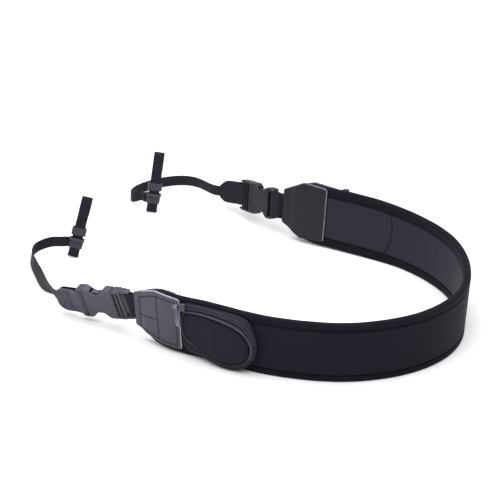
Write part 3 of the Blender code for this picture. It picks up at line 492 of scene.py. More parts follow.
def press(made: Object, lines: Sequence[Array], depth: float, width: float, face: float) -> Object:
    """Presses seams into the face of a flat piece, and marks them for painted shade in their grooves.

    Args:
        made: The flat piece.
        lines: The seams, as polylines in its length and width.
        depth: How deep they are.
        width: How wide they are.
        face: Height of the face.

    Returns:
        The same piece.
    """
    places = corners(made)
    pull = hump(distance_to(lines, places[:, :2]), width)
    pull *= smoothstep(places[:, 2], face * 0.3, face * 0.6)
    places[:, 2] -= depth * pull
    move(made, places)
    mark(made, "seam", pull)
    return made


@dataclass(frozen=True)
class Stitch:
    """A row of stitches, modelled once and copied along a line."""

    length: float = 2.3 * MM
    gap: float = 0.8 * MM
    radius: float = 0.26 * MM
    height: float = 0.0

    def model(self) -> tuple[Array, list[list[int]]]:
        """One stitch along +X: its vertices and faces."""
        at_rest()
        bpy.ops.mesh.primitive_uv_sphere_add(segments=6, ring_count=5, radius=1.0,
                                             rotation=(0.0, pi / 2, 0.0))
        made = settle(named("one_stitch"))
        places = corners(made)
        places *= (self.length / 2, self.radius, self.radius * 0.8)
        places[:, 0] *= 1.0 - 0.15 * np.abs(places[:, 0]) / (self.length / 2)
        faces = [list(face.vertices) for face in made.data.polygons]
        bpy.data.objects.remove(made)
        return places, faces

    def sew(self, name: str, lines: Sequence[Array]) -> Object:
        """Stitches along polylines in a flat piece's length and width."""
        spots = []
        for line in lines:
            lengths = run_lengths(line)
            count = max(int(lengths[-1] / (self.length + self.gap)), 1)
            for centre in (np.arange(count) + 0.5) * lengths[-1] / count:
                ends = [np.array([np.interp(centre + step, lengths, line[:, k]) for k in (0, 1)])
                        for step in (-self.length / 2, self.length / 2)]
                way = unit(ends[1] - ends[0])
                turn = np.array(((way[0], way[1], 0.0), (-way[1], way[0], 0.0), (0.0, 0.0, 1.0)))
                spots.append((turn, np.array((*(ends[0] + ends[1]) / 2, self.height))))
        return copies(name, self.model(), spots)


# ================================================================ lines that carry pieces
class Line:
    """A line with its own up and out directions, read by its length."""

    SAMPLES = 1200

    def __init__(self, points: Array, ups: Array, outs: Array) -> None:
        """Args: points, ups and outs: one row for each sample along it."""
        self.points, self.ups, self.outs = points, ups, outs
        self.alongs = unit(np.gradient(points, axis=0))
        self.lengths = run_lengths(points)
        self.length = float(self.lengths[-1])

    @classmethod
    def through(cls, stations: Array, outward: int) -> Line:
        """A natural spline through rows of x, y and z in metres and lean in degrees."""
        rows = spline(stations, cls.SAMPLES)
        points = rows[:, :3]
        along = unit(np.gradient(points, axis=0))
        level = unit(np.stack((along[:, 1], -along[:, 0], np.zeros(len(along))), 1)) * outward
        lean = np.radians(rows[:, 3:4])
        ups = np.array((0.0, 0.0, 1.0)) * np.cos(lean) + level * np.sin(lean)
        ups = unit(ups - along * np.sum(along * ups, axis=1, keepdims=True))
        return cls(points, ups, np.cross(along, ups) * outward)

    @classmethod
    def bent(cls, profile: Array) -> Line:
        """A line in the XZ plane, with +Y across it and out on its left."""
        points = np.stack((profile[:, 0], np.zeros(len(profile)), profile[:, 1]), 1)
        along = unit(np.gradient(points, axis=0))
        outs = np.stack((-along[:, 2], np.zeros(len(along)), along[:, 0]), 1)
        return cls(points, np.tile((0.0, 1.0, 0.0), (len(points), 1)), outs)

    def read(self, rows: Array, places: Array) -> Array:
        """Rows of the line at some lengths."""
        return np.stack([np.interp(places, self.lengths, rows[:, k]) for k in range(3)], 1)

    def place(self, flat: Array) -> Array:
        """Places of flat rows (along, up, out), straight on past both ends."""
        inside = np.clip(flat[:, 0], 0.0, self.length)
        past = self.read(self.alongs, inside) * (flat[:, 0] - inside)[:, None]
        up = unit(self.read(self.ups, inside)) * flat[:, 1:2]
        out = unit(self.read(self.outs, inside)) * flat[:, 2:3]
        return self.read(self.points, inside) + past + up + out

    def frame(self, length: float) -> tuple[Vector, Vector, Vector, Vector]:
        """Origin, along, up and out at a length."""
        at = np.array((length,))
        rows = (self.points, self.alongs, self.ups, self.outs)
        origin, along, up, out = (Vector(self.read(table, at)[0]) for table in rows)
        return origin, along.normalized(), up.normalized(), out.normalized()


def between(rows: Array, bends: Array, first: Array, second: Array, share: Array,
            gap: Array | float = 1.0) -> Array:
    """Places a share of the way from the first rows to the second, on a cubic spline."""
    b = share
    a = 1.0 - b
    curve = ((a ** 3 - a) * bends[first] + (b ** 3 - b) * bends[second]) * gap ** 2 / 6.0
    return a * rows[first] + b * rows[second] + curve


def spline(stations: Array, samples: int) -> Array:
    """Rows of a natural cubic spline through stations, spaced by their chords."""
    places = run_lengths(stations[:, :3])
    count = len(places)
    gaps = np.diff(places)
    matrix = np.eye(count)
    right = np.zeros_like(stations)
    for i in range(1, count - 1):
        matrix[i, i - 1] = gaps[i - 1]
        matrix[i, i] = 2.0 * (gaps[i - 1] + gaps[i])
        matrix[i, i + 1] = gaps[i]
        rise = (stations[i + 1] - stations[i]) / gaps[i]
        right[i] = 6.0 * (rise - (stations[i] - stations[i - 1]) / gaps[i - 1])
    bends = np.linalg.solve(matrix, right)
    dense = np.linspace(0.0, places[-1], samples)
    i = np.clip(np.searchsorted(places, dense) - 1, 0, count - 2)
    gap = gaps[i][:, None]
    share = (dense - places[i])[:, None] / gap
    return between(stations, bends, i, i + 1, share, gap)


def arc(middle: float, radius: float, start: float, stop: float, steps: int) -> list[tuple]:
    """Points (x, z) on an arc about a middle, angles in degrees from +X to +Z."""
    angles = np.linspace(radians(start), radians(stop), steps)
    return [(middle + radius * cos(a), radius * sin(a)) for a in angles]


def dense_profile(points: Sequence[tuple], step: float = 0.25 * MM) -> Array:
    """A polyline's points with others put between them, evenly spaced."""
    rows = np.array(points, dtype=float)
    lengths = run_lengths(rows)
    places = np.linspace(0.0, lengths[-1], int(lengths[-1] / step) + 2)
    return np.stack([np.interp(places, lengths, rows[:, k]) for k in (0, 1)], 1)


def plan(x: float, y: float) -> tuple[float, float]:
    """A plan place in millimetres, from the middle of the footprint."""
    return (x - FOOTPRINT_CENTRE[0]) * MM, (y - FOOTPRINT_CENTRE[1]) * MM


def through_matrix(matrix: Matrix, flat: Array) -> Array:
    """Flat rows put through a matrix."""
    rows = np.array(matrix)
    return flat @ rows[:3, :3].T + rows[:3, 3]


def square_to(other: Vector, way: Vector) -> Vector:
    """The part of a direction that is square to another one, made one long."""
    return (way - other * way.dot(other)).normalized()


def framed(first: Vector, third: Vector, origin: Vector) -> Matrix:
    """The matrix at an origin whose x and z axes have two directions."""
    made = Matrix((first, third.cross(first), third)).transposed().to_4x4()
    made.translation = origin
    return made


# ================================================================ finishes
class Board:
    """A node tree that is being filled."""

    def __init__(self, tree: bpy.types.NodeTree) -> None:
        """Args: tree: The tree of a material or a group."""
        self.tree = tree

    def node(self, kind: str, values: dict | None = None, **settings: object) -> bpy.types.Node:
        """A new node, with its settings, and constants or links for its inputs."""
        made = self.tree.nodes.new(kind)
        for key, value in settings.items():
            setattr(made, key, value)
        self.fill(made, values or {})
        return made

    def fill(self, made: bpy.types.Node, values: dict) -> None:
        """Gives a node's inputs their constants or links."""
        for key, value in values.items():
            if isinstance(value, Socket):
                self.tree.links.new(value, made.inputs[key])
            else:
                made.inputs[key].default_value = value

    def math(self, operation: str, *values: object) -> Socket:
        """A Math node's output."""
        inputs = dict(enumerate(values))
        return self.node("ShaderNodeMath", inputs, operation=operation).outputs[0]

    def ramp(self, value: object, low: float, high: float, start: float, stop: float) -> Socket:
        """A number moved from one range to another, and held inside it."""
        inputs = {"Value": value, "From Min": low, "From Max": high, "To Min": start, "To Max": stop}
        return self.node("ShaderNodeMapRange", inputs).outputs["Result"]

    def swing(self, value: object, turns: float) -> Socket:
        """A sine with some turns in each unit."""
        return self.math("SINE", self.math("MULTIPLY", value, tau * turns))

    def ridges(self, value: object) -> Socket:
        """Round ridges, one in each unit."""
        return self.math("ABSOLUTE", self.math("SINE", self.math("MULTIPLY", value, pi)))


def new_group(name: str, inputs: dict, outputs: dict) -> tuple:
    """An empty shader group: its board, what it is given, and its output node.

    Args:
        name: The group's name.
        inputs: The value that each input starts with.
        outputs: The kind of value that each output has.

    Returns:
        The board, the input node's sockets and the output node.
    """
    kinds = {float: "NodeSocketFloat", tuple: "NodeSocketColor", type(None): "NodeSocketVector"}
    tree = bpy.data.node_groups.new(name, "ShaderNodeTree")
    for label, value in inputs.items():
        socket = tree.interface.new_socket(name=label, in_out="INPUT",
                                           socket_type=kinds[type(value)])
        if value is not None:
            socket.default_value = value
    for label, kind in outputs.items():
        tree.interface.new_socket(name=label, in_out="OUTPUT", socket_type=kinds[kind])
    board = Board(tree)
    return board, board.node("NodeGroupInput").outputs, board.node("NodeGroupOutput")


class Effects:
    """The shader groups that the finishes share, each built once."""

    @classmethod
    def pattern(cls, pattern: Pattern) -> bpy.types.NodeTree:
        """The group that draws a pattern's height, from 0 to about 1."""
        name = f"{pattern.value}_relief"
        if name in bpy.data.node_groups:
            return bpy.data.node_groups[name]
        board, given, out = new_group(name, {"Vector": None, "Repeat": 10.0}, {"Height": float})
        inputs = {0: given["Vector"], "Scale": given["Repeat"]}
        scaled = board.node("ShaderNodeVectorMath", inputs, operation="SCALE")
        board.fill(out, {"Height": getattr(cls, pattern.value)(board, scaled.outputs[0])})
        return board.tree

    @staticmethod
    def axes(board: Board, vector: Socket) -> tuple:
        """A vector's first two numbers."""
        parts = board.node("ShaderNodeSeparateXYZ", {0: vector})
        return parts.outputs[0], parts.outputs[1]

    @classmethod
    def knit(cls, board: Board, vector: Socket) -> Socket:
        """Fine jersey: columns of small loops that lean to and fro."""
        x, y = cls.axes(board, vector)
        lean = board.math("MULTIPLY", board.math("PINGPONG", y, 0.5), 0.7)
        loops = board.swing(board.math("ADD", x, lean), 1.0)
        rows = board.math("MULTIPLY_ADD", board.swing(y, 2.0), 0.15, 0.5)
        return board.math("ADD", board.math("MULTIPLY", loops, 0.35), rows)

    @classmethod
    def rib(cls, board: Board, vector: Socket) -> Socket:
        """Cloth with fine ribs across it, each a row of threads."""
        x, y = cls.axes(board, vector)
        ribs = board.math("MULTIPLY", board.ridges(x), 0.85)
        return board.math("MULTIPLY_ADD", board.swing(y, 1.6), 0.12, ribs)

    @classmethod
    def weave(cls, board: Board, vector: Socket) -> Socket:
        """Webbing: slanted threads that change side in bands, as in a herringbone."""
        x, y = cls.axes(board, vector)
        bands = board.math("PINGPONG", y, 3.0)
        threads = board.ridges(board.math("ADD", x, board.math("MULTIPLY", bands, 0.8)))
        columns = board.math("MULTIPLY_ADD", board.ridges(y), 0.55, 0.45)
        return board.math("MULTIPLY", board.math("POWER", threads, 0.6), columns)

    @classmethod
    def grain(cls, board: Board, vector: Socket) -> Socket:
        """Leather: small pebbles with creases between them."""
        inputs = {"Vector": vector, "Scale": 1.0, "Randomness": 0.9}
        cells = board.node("ShaderNodeTexVoronoi", inputs, feature="SMOOTH_F1")
        fine = board.node("ShaderNodeTexNoise", {"Vector": vector, "Scale": 2.6, "Detail": 4.0})
        pebble = board.math("SUBTRACT", 1.0, board.math("POWER", cells.outputs["Distance"], 1.6))
        return board.math("MULTIPLY_ADD", fine.outputs["Fac"], 0.3,
                          board.math("MULTIPLY", pebble, 0.7))

    @classmethod
    def moulded(cls, board: Board, vector: Socket) -> Socket:
        """Moulded plastic or cast metal: a fine even texture."""
        inputs = {"Vector": vector, "Scale": 1.0, "Detail": 3.0, "Roughness": 0.6}
        fine = board.node("ShaderNodeTexNoise", inputs)
        return fine.outputs["Fac"]

    @classmethod
    def twist(cls, board: Board, vector: Socket) -> Socket:
        """Thread: strands that turn round each other."""
        x, y = cls.axes(board, vector)
        return board.ridges(board.math("ADD", x, board.math("MULTIPLY", y, 0.8)))

    @staticmethod
    def wear_and_painted_light() -> bpy.types.NodeTree:
        """Colour variation, outer edges lighter as wear and painted highlight, and seams, creases and
        hollows darker as painted shade, as one group.
        """
        if "wear_highlight_and_painted_shade" in bpy.data.node_groups:
            return bpy.data.node_groups["wear_highlight_and_painted_shade"]
        inputs = {"Vector": None, "Colour": (0.1, 0.1, 0.1, 1.0),
                  "Wear And Highlight Colour": (0.2, 0.2, 0.2, 1.0), "Tone": 0.5, "Tone Depth": 0.2,
                  "Cloudiness": 0.2, "Edge": 0.0, "Seam": 0.0}
        outputs = {"Colour": tuple, "Rough": float}
        board, given, out = new_group("wear_highlight_and_painted_shade", inputs, outputs)
        inputs = {"Vector": given["Vector"], "Scale": 38.0, "Detail": 5.0, "Roughness": 0.6}
        cloud = board.node("ShaderNodeTexNoise", inputs)
        centred = board.math("SUBTRACT", cloud.outputs["Fac"], 0.5)
        cloudy = board.math("MULTIPLY", centred, given["Cloudiness"])
        tone = board.math("SUBTRACT", given["Tone"], 0.5)
        toned = board.math("MULTIPLY", tone, given["Tone Depth"])
        factor = board.math("ADD", board.math("MULTIPLY_ADD", cloudy, 2.0, 1.0), toned)
        # painted shade: the seam attribute darkens the colour by up to 62 percent
        seams = board.math("MULTIPLY_ADD", given["Seam"], -0.62, 1.0)
        inputs = {0: given["Colour"], "Scale": board.math("MULTIPLY", factor, seams)}
        scaled = board.node("ShaderNodeVectorMath", inputs, operation="SCALE")
        inputs = {"Vector": given["Vector"], "Scale": 420.0, "Detail": 4.0}
        scuff = board.node("ShaderNodeTexNoise", inputs)
        broken = board.ramp(scuff.outputs["Fac"], 0.3, 0.6, 0.45, 1.0)
        # the edge mask, broken by scuffs, mixes in the lighter colour: edge wear and painted highlight
        wear_and_highlight = board.math("MULTIPLY", given["Edge"], broken)
        inputs = {0: wear_and_highlight, 6: scaled.outputs[0], 7: given["Wear And Highlight Colour"]}
        colour = board.node("ShaderNodeMix", inputs, data_type="RGBA")
        rough = board.math("MULTIPLY_ADD", centred, 0.25, board.math("MULTIPLY", toned, -0.3))
        board.fill(out, {"Colour": colour.outputs[2], "Rough": rough})
        return board.tree


@dataclass(frozen=True)
class Finish:
    """One material: its colours, its pattern and how it takes the light."""

    name: str
    slot: Slot
    pattern: Pattern
    colour: tuple[float, float, float]
    wear_and_highlight: tuple[float, float, float]
    roughness: float
    repeat: float  # size of one repeat of the pattern
    relief: float  # height of the pattern
    tone_depth: float = 0.3
    cloudiness: float = 0.12
    gloss: float = 0.45
    sheen: float = 0.0
    coat: float = 0.0
    metallic: float = 0.0

    @property
    def on_uv(self) -> bool:
        """Whether the pattern follows the piece's own UV map, as on cloth."""
        return self.pattern in (Pattern.KNIT, Pattern.RIB, Pattern.WEAVE)

    def material(self) -> bpy.types.Material:
        """The material, made once."""
        if self.name in bpy.data.materials:
            return bpy.data.materials[self.name]
        made = bpy.data.materials.new(self.name)
        made.use_nodes = True
        made.diffuse_color = (*self.colour, 1.0)
        board = Board(made.node_tree)
        place = board.node("ShaderNodeTexCoord").outputs
        vector, size = (place["UV"], UV_UNIT) if self.on_uv else (place["Object"], 1.0)
        relief = board.node("ShaderNodeGroup", {"Vector": vector, "Repeat": size / self.repeat},
                            node_tree=Effects.pattern(self.pattern)).outputs["Height"]
        # The edge attribute marks wear and painted highlight; the seam attribute marks painted shade.
        edge, seam = (board.node("ShaderNodeAttribute", attribute_name=name).outputs["Fac"]
                      for name in ("edge", "seam"))
        wear_and_painted_light = board.node("ShaderNodeGroup", {
            "Vector": place["Object"], "Colour": (*self.colour, 1.0),
            "Wear And Highlight Colour": (*self.wear_and_highlight, 1.0), "Tone": relief, "Tone Depth": self.tone_depth,
            "Cloudiness": self.cloudiness, "Edge": edge, "Seam": seam},
            node_tree=Effects.wear_and_painted_light())
        inputs = {"Height": relief, "Strength": 0.8, "Distance": self.relief}
        bump = board.node("ShaderNodeBump", inputs)
        board.fill(board.tree.nodes["Principled BSDF"], {
            "Base Color": wear_and_painted_light.outputs["Colour"], "Normal": bump.outputs["Normal"],
            "Roughness": board.math("ADD", wear_and_painted_light.outputs["Rough"], self.roughness),
            "Metallic": self.metallic, "Sheen Weight": self.sheen, "Sheen Roughness": 0.45,
            "Coat Weight": self.coat, "Coat Roughness": 0.28, "Specular IOR Level": self.gloss})
        return made

    def on(self, made: Object) -> Object:
        """Puts the finish on an object, in its one material slot."""
        made.data.materials.clear()
        made.data.materials.append(self.material())
        return made


NEOPRENE = Finish(
    "band_neoprene_knit", Slot.NEOPRENE, Pattern.KNIT, (0.0086, 0.0086, 0.0144),
    (0.03, 0.03, 0.038), 0.78, 0.9 * MM, 0.05 * MM, gloss=0.06, sheen=0.04)
LINING = Finish(
    "band_lining_mesh", Slot.NEOPRENE, Pattern.WEAVE, (0.0184, 0.0192, 0.0289), (0.05, 0.05, 0.06),
    0.76, 1.1 * MM, 0.10 * MM, tone_depth=0.5, gloss=0.08, sheen=0.05)
BINDING = Finish(
    "binding_knit_tape", Slot.BINDING, Pattern.KNIT, (0.0065, 0.0062, 0.0109), (0.03, 0.03, 0.04),
    0.74, 0.8 * MM, 0.05 * MM, gloss=0.06, sheen=0.03)
OUTER_LEATHER = Finish(
    "tab_leather_grained", Slot.LEATHER, Pattern.GRAIN, (0.0323, 0.0323, 0.0499),
    (0.36, 0.37, 0.44), 0.42, 1.1 * MM, 0.08 * MM, tone_depth=0.15, gloss=0.32, coat=0.08)
# Darker than the outer leather: a smoother leather, with painted shade on the inner tabs.
INNER_LEATHER = Finish(
    "tab_leather_smooth_shaded", Slot.LEATHER, Pattern.GRAIN, (0.0080, 0.0085, 0.0130), (0.20, 0.21, 0.26),
    0.46, 0.8 * MM, 0.04 * MM, tone_depth=0.15, gloss=0.24)
PATCH_LEATHER = Finish(
    "patch_leather", Slot.LEATHER, Pattern.GRAIN, (0.0269, 0.0269, 0.0466), (0.26, 0.26, 0.33),
    0.45, 0.9 * MM, 0.08 * MM, tone_depth=0.2, gloss=0.28)
POCKET_CLOTH = Finish(
    "pocket_ribbed_cloth", Slot.POCKET, Pattern.RIB, (0.0185, 0.0197, 0.0280), (0.07, 0.07, 0.085),
    0.75, 1.3 * MM, 0.18 * MM, tone_depth=0.7, gloss=0.08, sheen=0.05)
POCKET_KNIT = Finish(
    "pocket_panel_knit", Slot.NEOPRENE, Pattern.KNIT, (0.0111, 0.0115, 0.0188), (0.04, 0.04, 0.05),
    0.78, 0.9 * MM, 0.06 * MM, gloss=0.06, sheen=0.04)
WEBBING = Finish(
    "webbing_herringbone", Slot.WEBBING, Pattern.WEAVE, (0.0099, 0.0099, 0.0164),
    (0.04, 0.04, 0.05), 0.66, 0.9 * MM, 0.14 * MM, tone_depth=0.7, gloss=0.12, sheen=0.03)
PLASTIC = Finish(
    "buckle_acetal", Slot.PLASTIC, Pattern.MOULDED, (0.0323, 0.0329, 0.0473), (0.15, 0.155, 0.19),
    0.42, 0.6 * MM, 0.02 * MM, tone_depth=0.08, gloss=0.32, coat=0.08)
# The same acetal, darker: painted shade on the back end's buckle.
SHADED_PLASTIC = Finish(
    "buckle_acetal_shaded", Slot.PLASTIC, Pattern.MOULDED, (0.0066, 0.0070, 0.0112),
    (0.13, 0.135, 0.165), 0.42, 0.6 * MM, 0.02 * MM, tone_depth=0.08, gloss=0.2)
DARK_PLASTIC = Finish(
    "adjuster_plastic", Slot.PLASTIC, Pattern.MOULDED, (0.0126, 0.0134, 0.0215), (0.12, 0.12, 0.15),
    0.42, 0.6 * MM, 0.02 * MM, tone_depth=0.1, gloss=0.28)
THREAD = Finish(
    "sewing_thread", Slot.LEATHER, Pattern.TWIST, (0.0044, 0.0044, 0.0084), (0.01, 0.01, 0.014),
    0.7, 0.5 * MM, 0.05 * MM, gloss=0.08)
DARK_THREAD = Finish(
    "binding_thread", Slot.BINDING, Pattern.TWIST, (0.0022, 0.0022, 0.0042), (0.01, 0.01, 0.015),
    0.7, 0.5 * MM, 0.05 * MM, gloss=0.06)
ZIP_TAPE = Finish(
    "zip_tape_cloth", Slot.COIL, Pattern.RIB, (0.0266, 0.0281, 0.0401), (0.08, 0.08, 0.1), 0.68,
    0.8 * MM, 0.08 * MM, tone_depth=0.6, gloss=0.10)
ZIP_COIL = Finish(
    "zip_coil_nylon", Slot.COIL, Pattern.MOULDED, (0.0059, 0.0059, 0.0100), (0.02, 0.02, 0.03),
    0.45, 0.5 * MM, 0.02 * MM, gloss=0.16)
METAL = Finish(
    "zip_gunmetal", Slot.METAL, Pattern.MOULDED, (0.0629, 0.0644, 0.0937), (0.42, 0.43, 0.50), 0.38,
    0.5 * MM, 0.02 * MM, gloss=0.32, metallic=0.35)
DARK_METAL = Finish(
    "zip_slider_enamel", Slot.METAL, Pattern.MOULDED, (0.0148, 0.0148, 0.0251), (0.20, 0.20, 0.26),
    0.4, 0.5 * MM, 0.02 * MM, gloss=0.28, metallic=0.2)


def dress(made: Object, finish: Finish, nodes: Sequence[str] = (), body: str = "strap") -> Object:
    """Finishes a piece, lets it ride on its body and hides the solids it stands for.

    Args:
        made: The piece, in place.
        finish: Its material.
        nodes: The CAD nodes that it replaces.
        body: The body that it rides on.

    Returns:
        The same piece.
    """
    finish.on(made)
    hold(made)
    bpy.ops.object.shade_smooth_by_angle(angle=radians(38.0))
    if finish.pattern is Pattern.MOULDED:
        change = made.modifiers.new("even_faces", "WEIGHTED_NORMAL")
        change.keep_sharp = True
        finish_modifiers(made)
    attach(made, body)
    if nodes:
        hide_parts(*nodes)
    LOG.info("%s: %d faces on %s", made.name, len(made.data.polygons), body)
    return made


# ================================================================ the band
@dataclass
class Band:
    """The padded band with the bindings folded over its two long edges."""

    width: float = 60.0 * MM
    edge: float = 7.0 * MM
    middle: float = 6.8 * MM
    core_edge: float = 4.0 * MM
    binding_wall: float = 1.1 * MM
    binding_outer: float = 6.6 * MM
    binding_inner: float = 8.6 * MM
    binding_radius: float = 2.6 * MM
    floor_press: float = 0.5 * MM
    gap: float = 0.3 * MM
    first: float = 15.0 * MM
    rows: int = 300
    taper: tuple = ((15.0, 22.2), (24.0, 27.1), (34.0, 28.7), (50.0, 29.2), (75.0, 29.7),
                    (110.0, 30.0))
    seam_end: float = 121.5 * MM
    seam_bow: float = 7.0 * MM
    seam_sunk: tuple = mm(0.7, 0.75)  # depth and width
    seam_half: float = 22.0 * MM
    seam_rows: tuple = mm(10.0, 1.5, 0.45)  # before it, past it and their step
    crown_half: float = 21.0 * MM
    pad_waves: tuple = ((0.16, 23.0, 0.0), (0.10, 9.1, 1.0))  # height, length and start
    tape_waves: tuple = ((0.10, 11.0), (0.06, 4.3))  # height and length
    tape_soft: tuple = mm(26.0, 30.0)  # where the binding's edge starts to wave
    # width of the painted shade on the binding beside its edge
    tape_edge_shade: float = 0.35 * MM
    stitch: Stitch = Stitch(2.2 * MM, 0.9 * MM, 0.22 * MM)
    stitch_place: tuple = mm(1.5, 0.14)  # in from the tape's edge, and sunk
    ditch_width: float = 0.9 * MM  # of the shade beside the bindings
    stations: tuple = (  # x, y and lean
        (-103.0, -176.5, 5.0), (-63.5, -209.8, 5.0), (-40.0, -221.8, 5.0), (-16.0, -236.2, 5.0),
        (8.0, -248.8, 5.0), (44.0, -260.8, 5.0), (79.0, -265.4, 5.0), (115.0, -260.4, 5.0),
        (150.0, -244.0, 5.0), (176.4, -217.5, 5.0), (190.0, -188.0, 5.2), (194.0, -159.0, 4.6),
        (193.2, -131.0, 3.6), (188.0, -104.5, 2.8), (173.8, -72.8, 2.6), (155.6, -48.0, 2.6),
        (136.0, -28.4, 3.6), (117.0, -13.6, 7.0), (78.8, 10.0, 9.0), (31.7, 37.0, 8.5))
    line: Line = field(init=False)

    def __post_init__(self) -> None:
        """Sets the band's middle line, with its lower edge on the floor."""
        rows = []
        for x, y, lean in self.stations:
            reach = self.width / 2 - self.binding_radius
            height = reach * cos(radians(lean)) + self.binding_radius
            height += (self.edge / 2 - self.binding_radius) * sin(radians(lean))
            rows.append((*plan(x, y), height - self.floor_press / 2, lean))
        self.line = Line.through(np.array(rows), 1)

    def inset(self, along: Array) -> Array:
        """How much narrower than its full half width the band is at some lengths."""
        distance = np.minimum(along, self.line.length - along)
        places, halves = zip(*self.taper)
        return self.width / 2 - np.interp(distance / MM, places, halves) * MM

    def tapered(self, flat: Array) -> Array:
        """Flat rows (along, up, out) of the full width, drawn in where the band tapers."""
        rows = flat.copy()
        rows[:, 1] -= np.sign(rows[:, 1]) * self.inset(rows[:, 0])
        return rows

    def places(self) -> Array:
        """Lengths of the sections, closer together at the seams of the lining."""
        length = self.line.length
        even = np.linspace(self.first, length - self.first, self.rows)
        before, past, step = self.seam_rows
        near = np.arange(self.seam_end - before, self.seam_end + past, step)
        return np.unique(np.concatenate((even, near, length - near)).round(6))

    def lining_seam(self, far: bool) -> Array:
        """The sewn line of a pocket's round end, seen on the lining."""
        height = np.linspace(-21.3, 21.3, 41) * MM
        distance = self.seam_end - self.seam_bow * ((height - 6.0 * MM) / (25.0 * MM)) ** 2
        along = self.line.length - distance if far else distance
        return np.stack((along, height), 1)

    def pad_profile(self) -> tuple[Array, Array]:
        """Heights and offsets round the core: over the outer face, then the lining."""
        edge = self.width / 2 - self.binding_wall - self.gap
        thin, full = self.core_edge / 2, self.middle / 2
        faces = []
        for leg in (self.binding_outer, self.binding_inner):
            stop = self.width / 2 - leg - self.gap
            roll = np.array((0.0, 0.2, 0.6, 1.2, 2.0, 3.2, 5.0)) * MM
            rise = np.array((0.0, 0.45, 0.72, 0.88, 0.95, 0.98, 1.0))
            inner = np.linspace(stop - 7.0 * MM, 0.0, 9)
            heights = np.concatenate(((edge, edge - 1.2 * MM, stop + 0.25 * MM), stop - roll, inner))
            offsets = np.concatenate(((thin * 0.5, thin, thin), thin + (full - thin) * rise,
                                      full + np.linspace(0.0, 0.1, 9) * MM))
            faces.append((np.concatenate((heights, -heights[-2::-1])),
                          np.concatenate((offsets, offsets[-2::-1]))))
        outer, inner = faces
        heights = np.concatenate((outer[0], inner[0][::-1], outer[0][:1]))
        offsets = np.concatenate((outer[1], -inner[1][::-1], outer[1][:1]))
        return heights, offsets

    def beside_tape(self, flat: Array, gap: float, way: float, width: float) -> Array:
        """Shade that starts at the bindings' edges: way is 1 up the tape, and -1 off it."""
        shade = np.zeros(len(flat))
        for sign, leg in ((1.0, self.binding_outer), (-1.0, self.binding_inner)):
            past = way * (np.abs(flat[:, 1]) - (self.width / 2 - leg - gap))
            near = np.exp(-np.clip(past, 0.0, None) / width)
            shade = np.maximum(shade, near * (np.sign(flat[:, 2]) == sign))
        return shade

    def build_pad(self) -> Object:
        """The padded core, with the soft rolls of foam under its cloth."""
        heights, offsets = self.pad_profile()
        along = self.places()
        table = np.zeros((len(along), len(heights), 3))
        table[..., 0] = along[:, None]
        table[..., 1] = heights
        crown = np.clip(1.0 - (heights / self.crown_half) ** 2, 0.0, 1.0)
        wave = waves(along, self.pad_waves)
        table[..., 2] = offsets + np.sign(offsets) * crown * wave[:, None] * MM
        run = run_lengths(np.stack((heights, offsets), 1))
        made = woven("padded_band", table, spread(along, run), closed=True)
        flat = corners(made)
        seams = [self.lining_seam(far) for far in (False, True)]
        pull = hump(distance_to(seams, flat[:, :2]), self.seam_sunk[1])
        pull *= (flat[:, 2] < -self.core_edge / 2) & (np.abs(flat[:, 1]) < self.seam_half)
        flat[:, 2] += self.seam_sunk[0] * pull
        # The seam attribute paints shade into the sunk lining seams and beside the bindings.
        ditch = self.beside_tape(flat, self.gap, -1.0, self.ditch_width)
        mark(made, "seam", np.maximum(pull, ditch))
        move(made, flat)
        lay(made, lambda rows: self.line.place(self.tapered(rows)))
        dress(made, NEOPRENE, ("shoulder_pad",))
        made.data.materials.append(LINING.material())
        self.line_inside(made)
        return made

    def line_inside(self, made: Object) -> None:
        """Gives the faces that look inwards the lining's finish."""
        mesh = made.data
        uv = grab(mesh.uv_layers.active.data, "uv", 2)
        starts = grab(mesh.polygons, "loop_start", kind=int)
        heights, offsets = self.pad_profile()
        run = run_lengths(np.stack((heights, offsets), 1))[1:]
        turn = run[np.argmax(np.diff(np.sign(offsets)) < 0)] / UV_UNIT
        inside = uv[starts, 1] > turn
        mesh.polygons.foreach_set("material_index", inside.astype(int))

    def binding_profile(self) -> tuple[Array, Array]:
        """Heights and offsets round the folded binding of the upper edge."""
        top, side = self.width / 2, self.edge / 2
        wall, radius = self.binding_wall, self.binding_radius
        roll = np.array((0.0, 0.25, 0.6, 1.1, 1.5, 1.9, 2.5)) * MM
        dip = np.array((0.62, 0.24, 0.06, 0.10, 0.22, 0.10, 0.0)) * MM
        angles = np.linspace(0.0, pi / 2, 7)
        outer, inner = top - self.binding_outer, top - self.binding_inner
        heights = [*(outer + roll), *(top - radius + radius * np.sin(angles)),
                   *(top - radius + radius * np.cos(angles)), *(inner + roll[::-1])]
        offsets = [*(side - dip), *(side - radius + radius * np.cos(angles)),
                   *(radius - side - radius * np.sin(angles)), *(dip[::-1] - side)]
        heights += [inner, top - radius, top - wall, top - wall, top - radius, outer, outer]
        offsets += [wall - side, wall - side, radius - side, side - radius, side - wall,
                    side - wall, side - 0.62 * MM]
        return np.array(heights), np.array(offsets)

    def build_binding(self, name: str, upper: int, node: str) -> Object:
        """The binding over one edge, pressed flat where it stands on the floor."""
        heights, offsets = self.binding_profile()
        along = np.linspace(self.first, self.line.length - self.first, self.rows)
        table = np.zeros((len(along), len(heights), 3))
        table[..., 0] = along[:, None]
        long, short = self.tape_waves
        wave = waves(along, ((*long, upper), (*short, 0.0)))
        low, high = self.tape_soft
        soft = np.clip((heights - low) / (high - low), 0.0, 1.0)
        table[..., 1] = upper * (heights - soft * (0.12 + wave[:, None]) * MM)
        table[..., 2] = offsets
        run = run_lengths(np.stack((heights, offsets), 1))
        made = woven(name, table, spread(along, run), closed=True)
        # painted shade on the binding beside its edge, as the seam attribute
        mark(made, "seam", self.beside_tape(corners(made), 0.0, 1.0, self.tape_edge_shade))

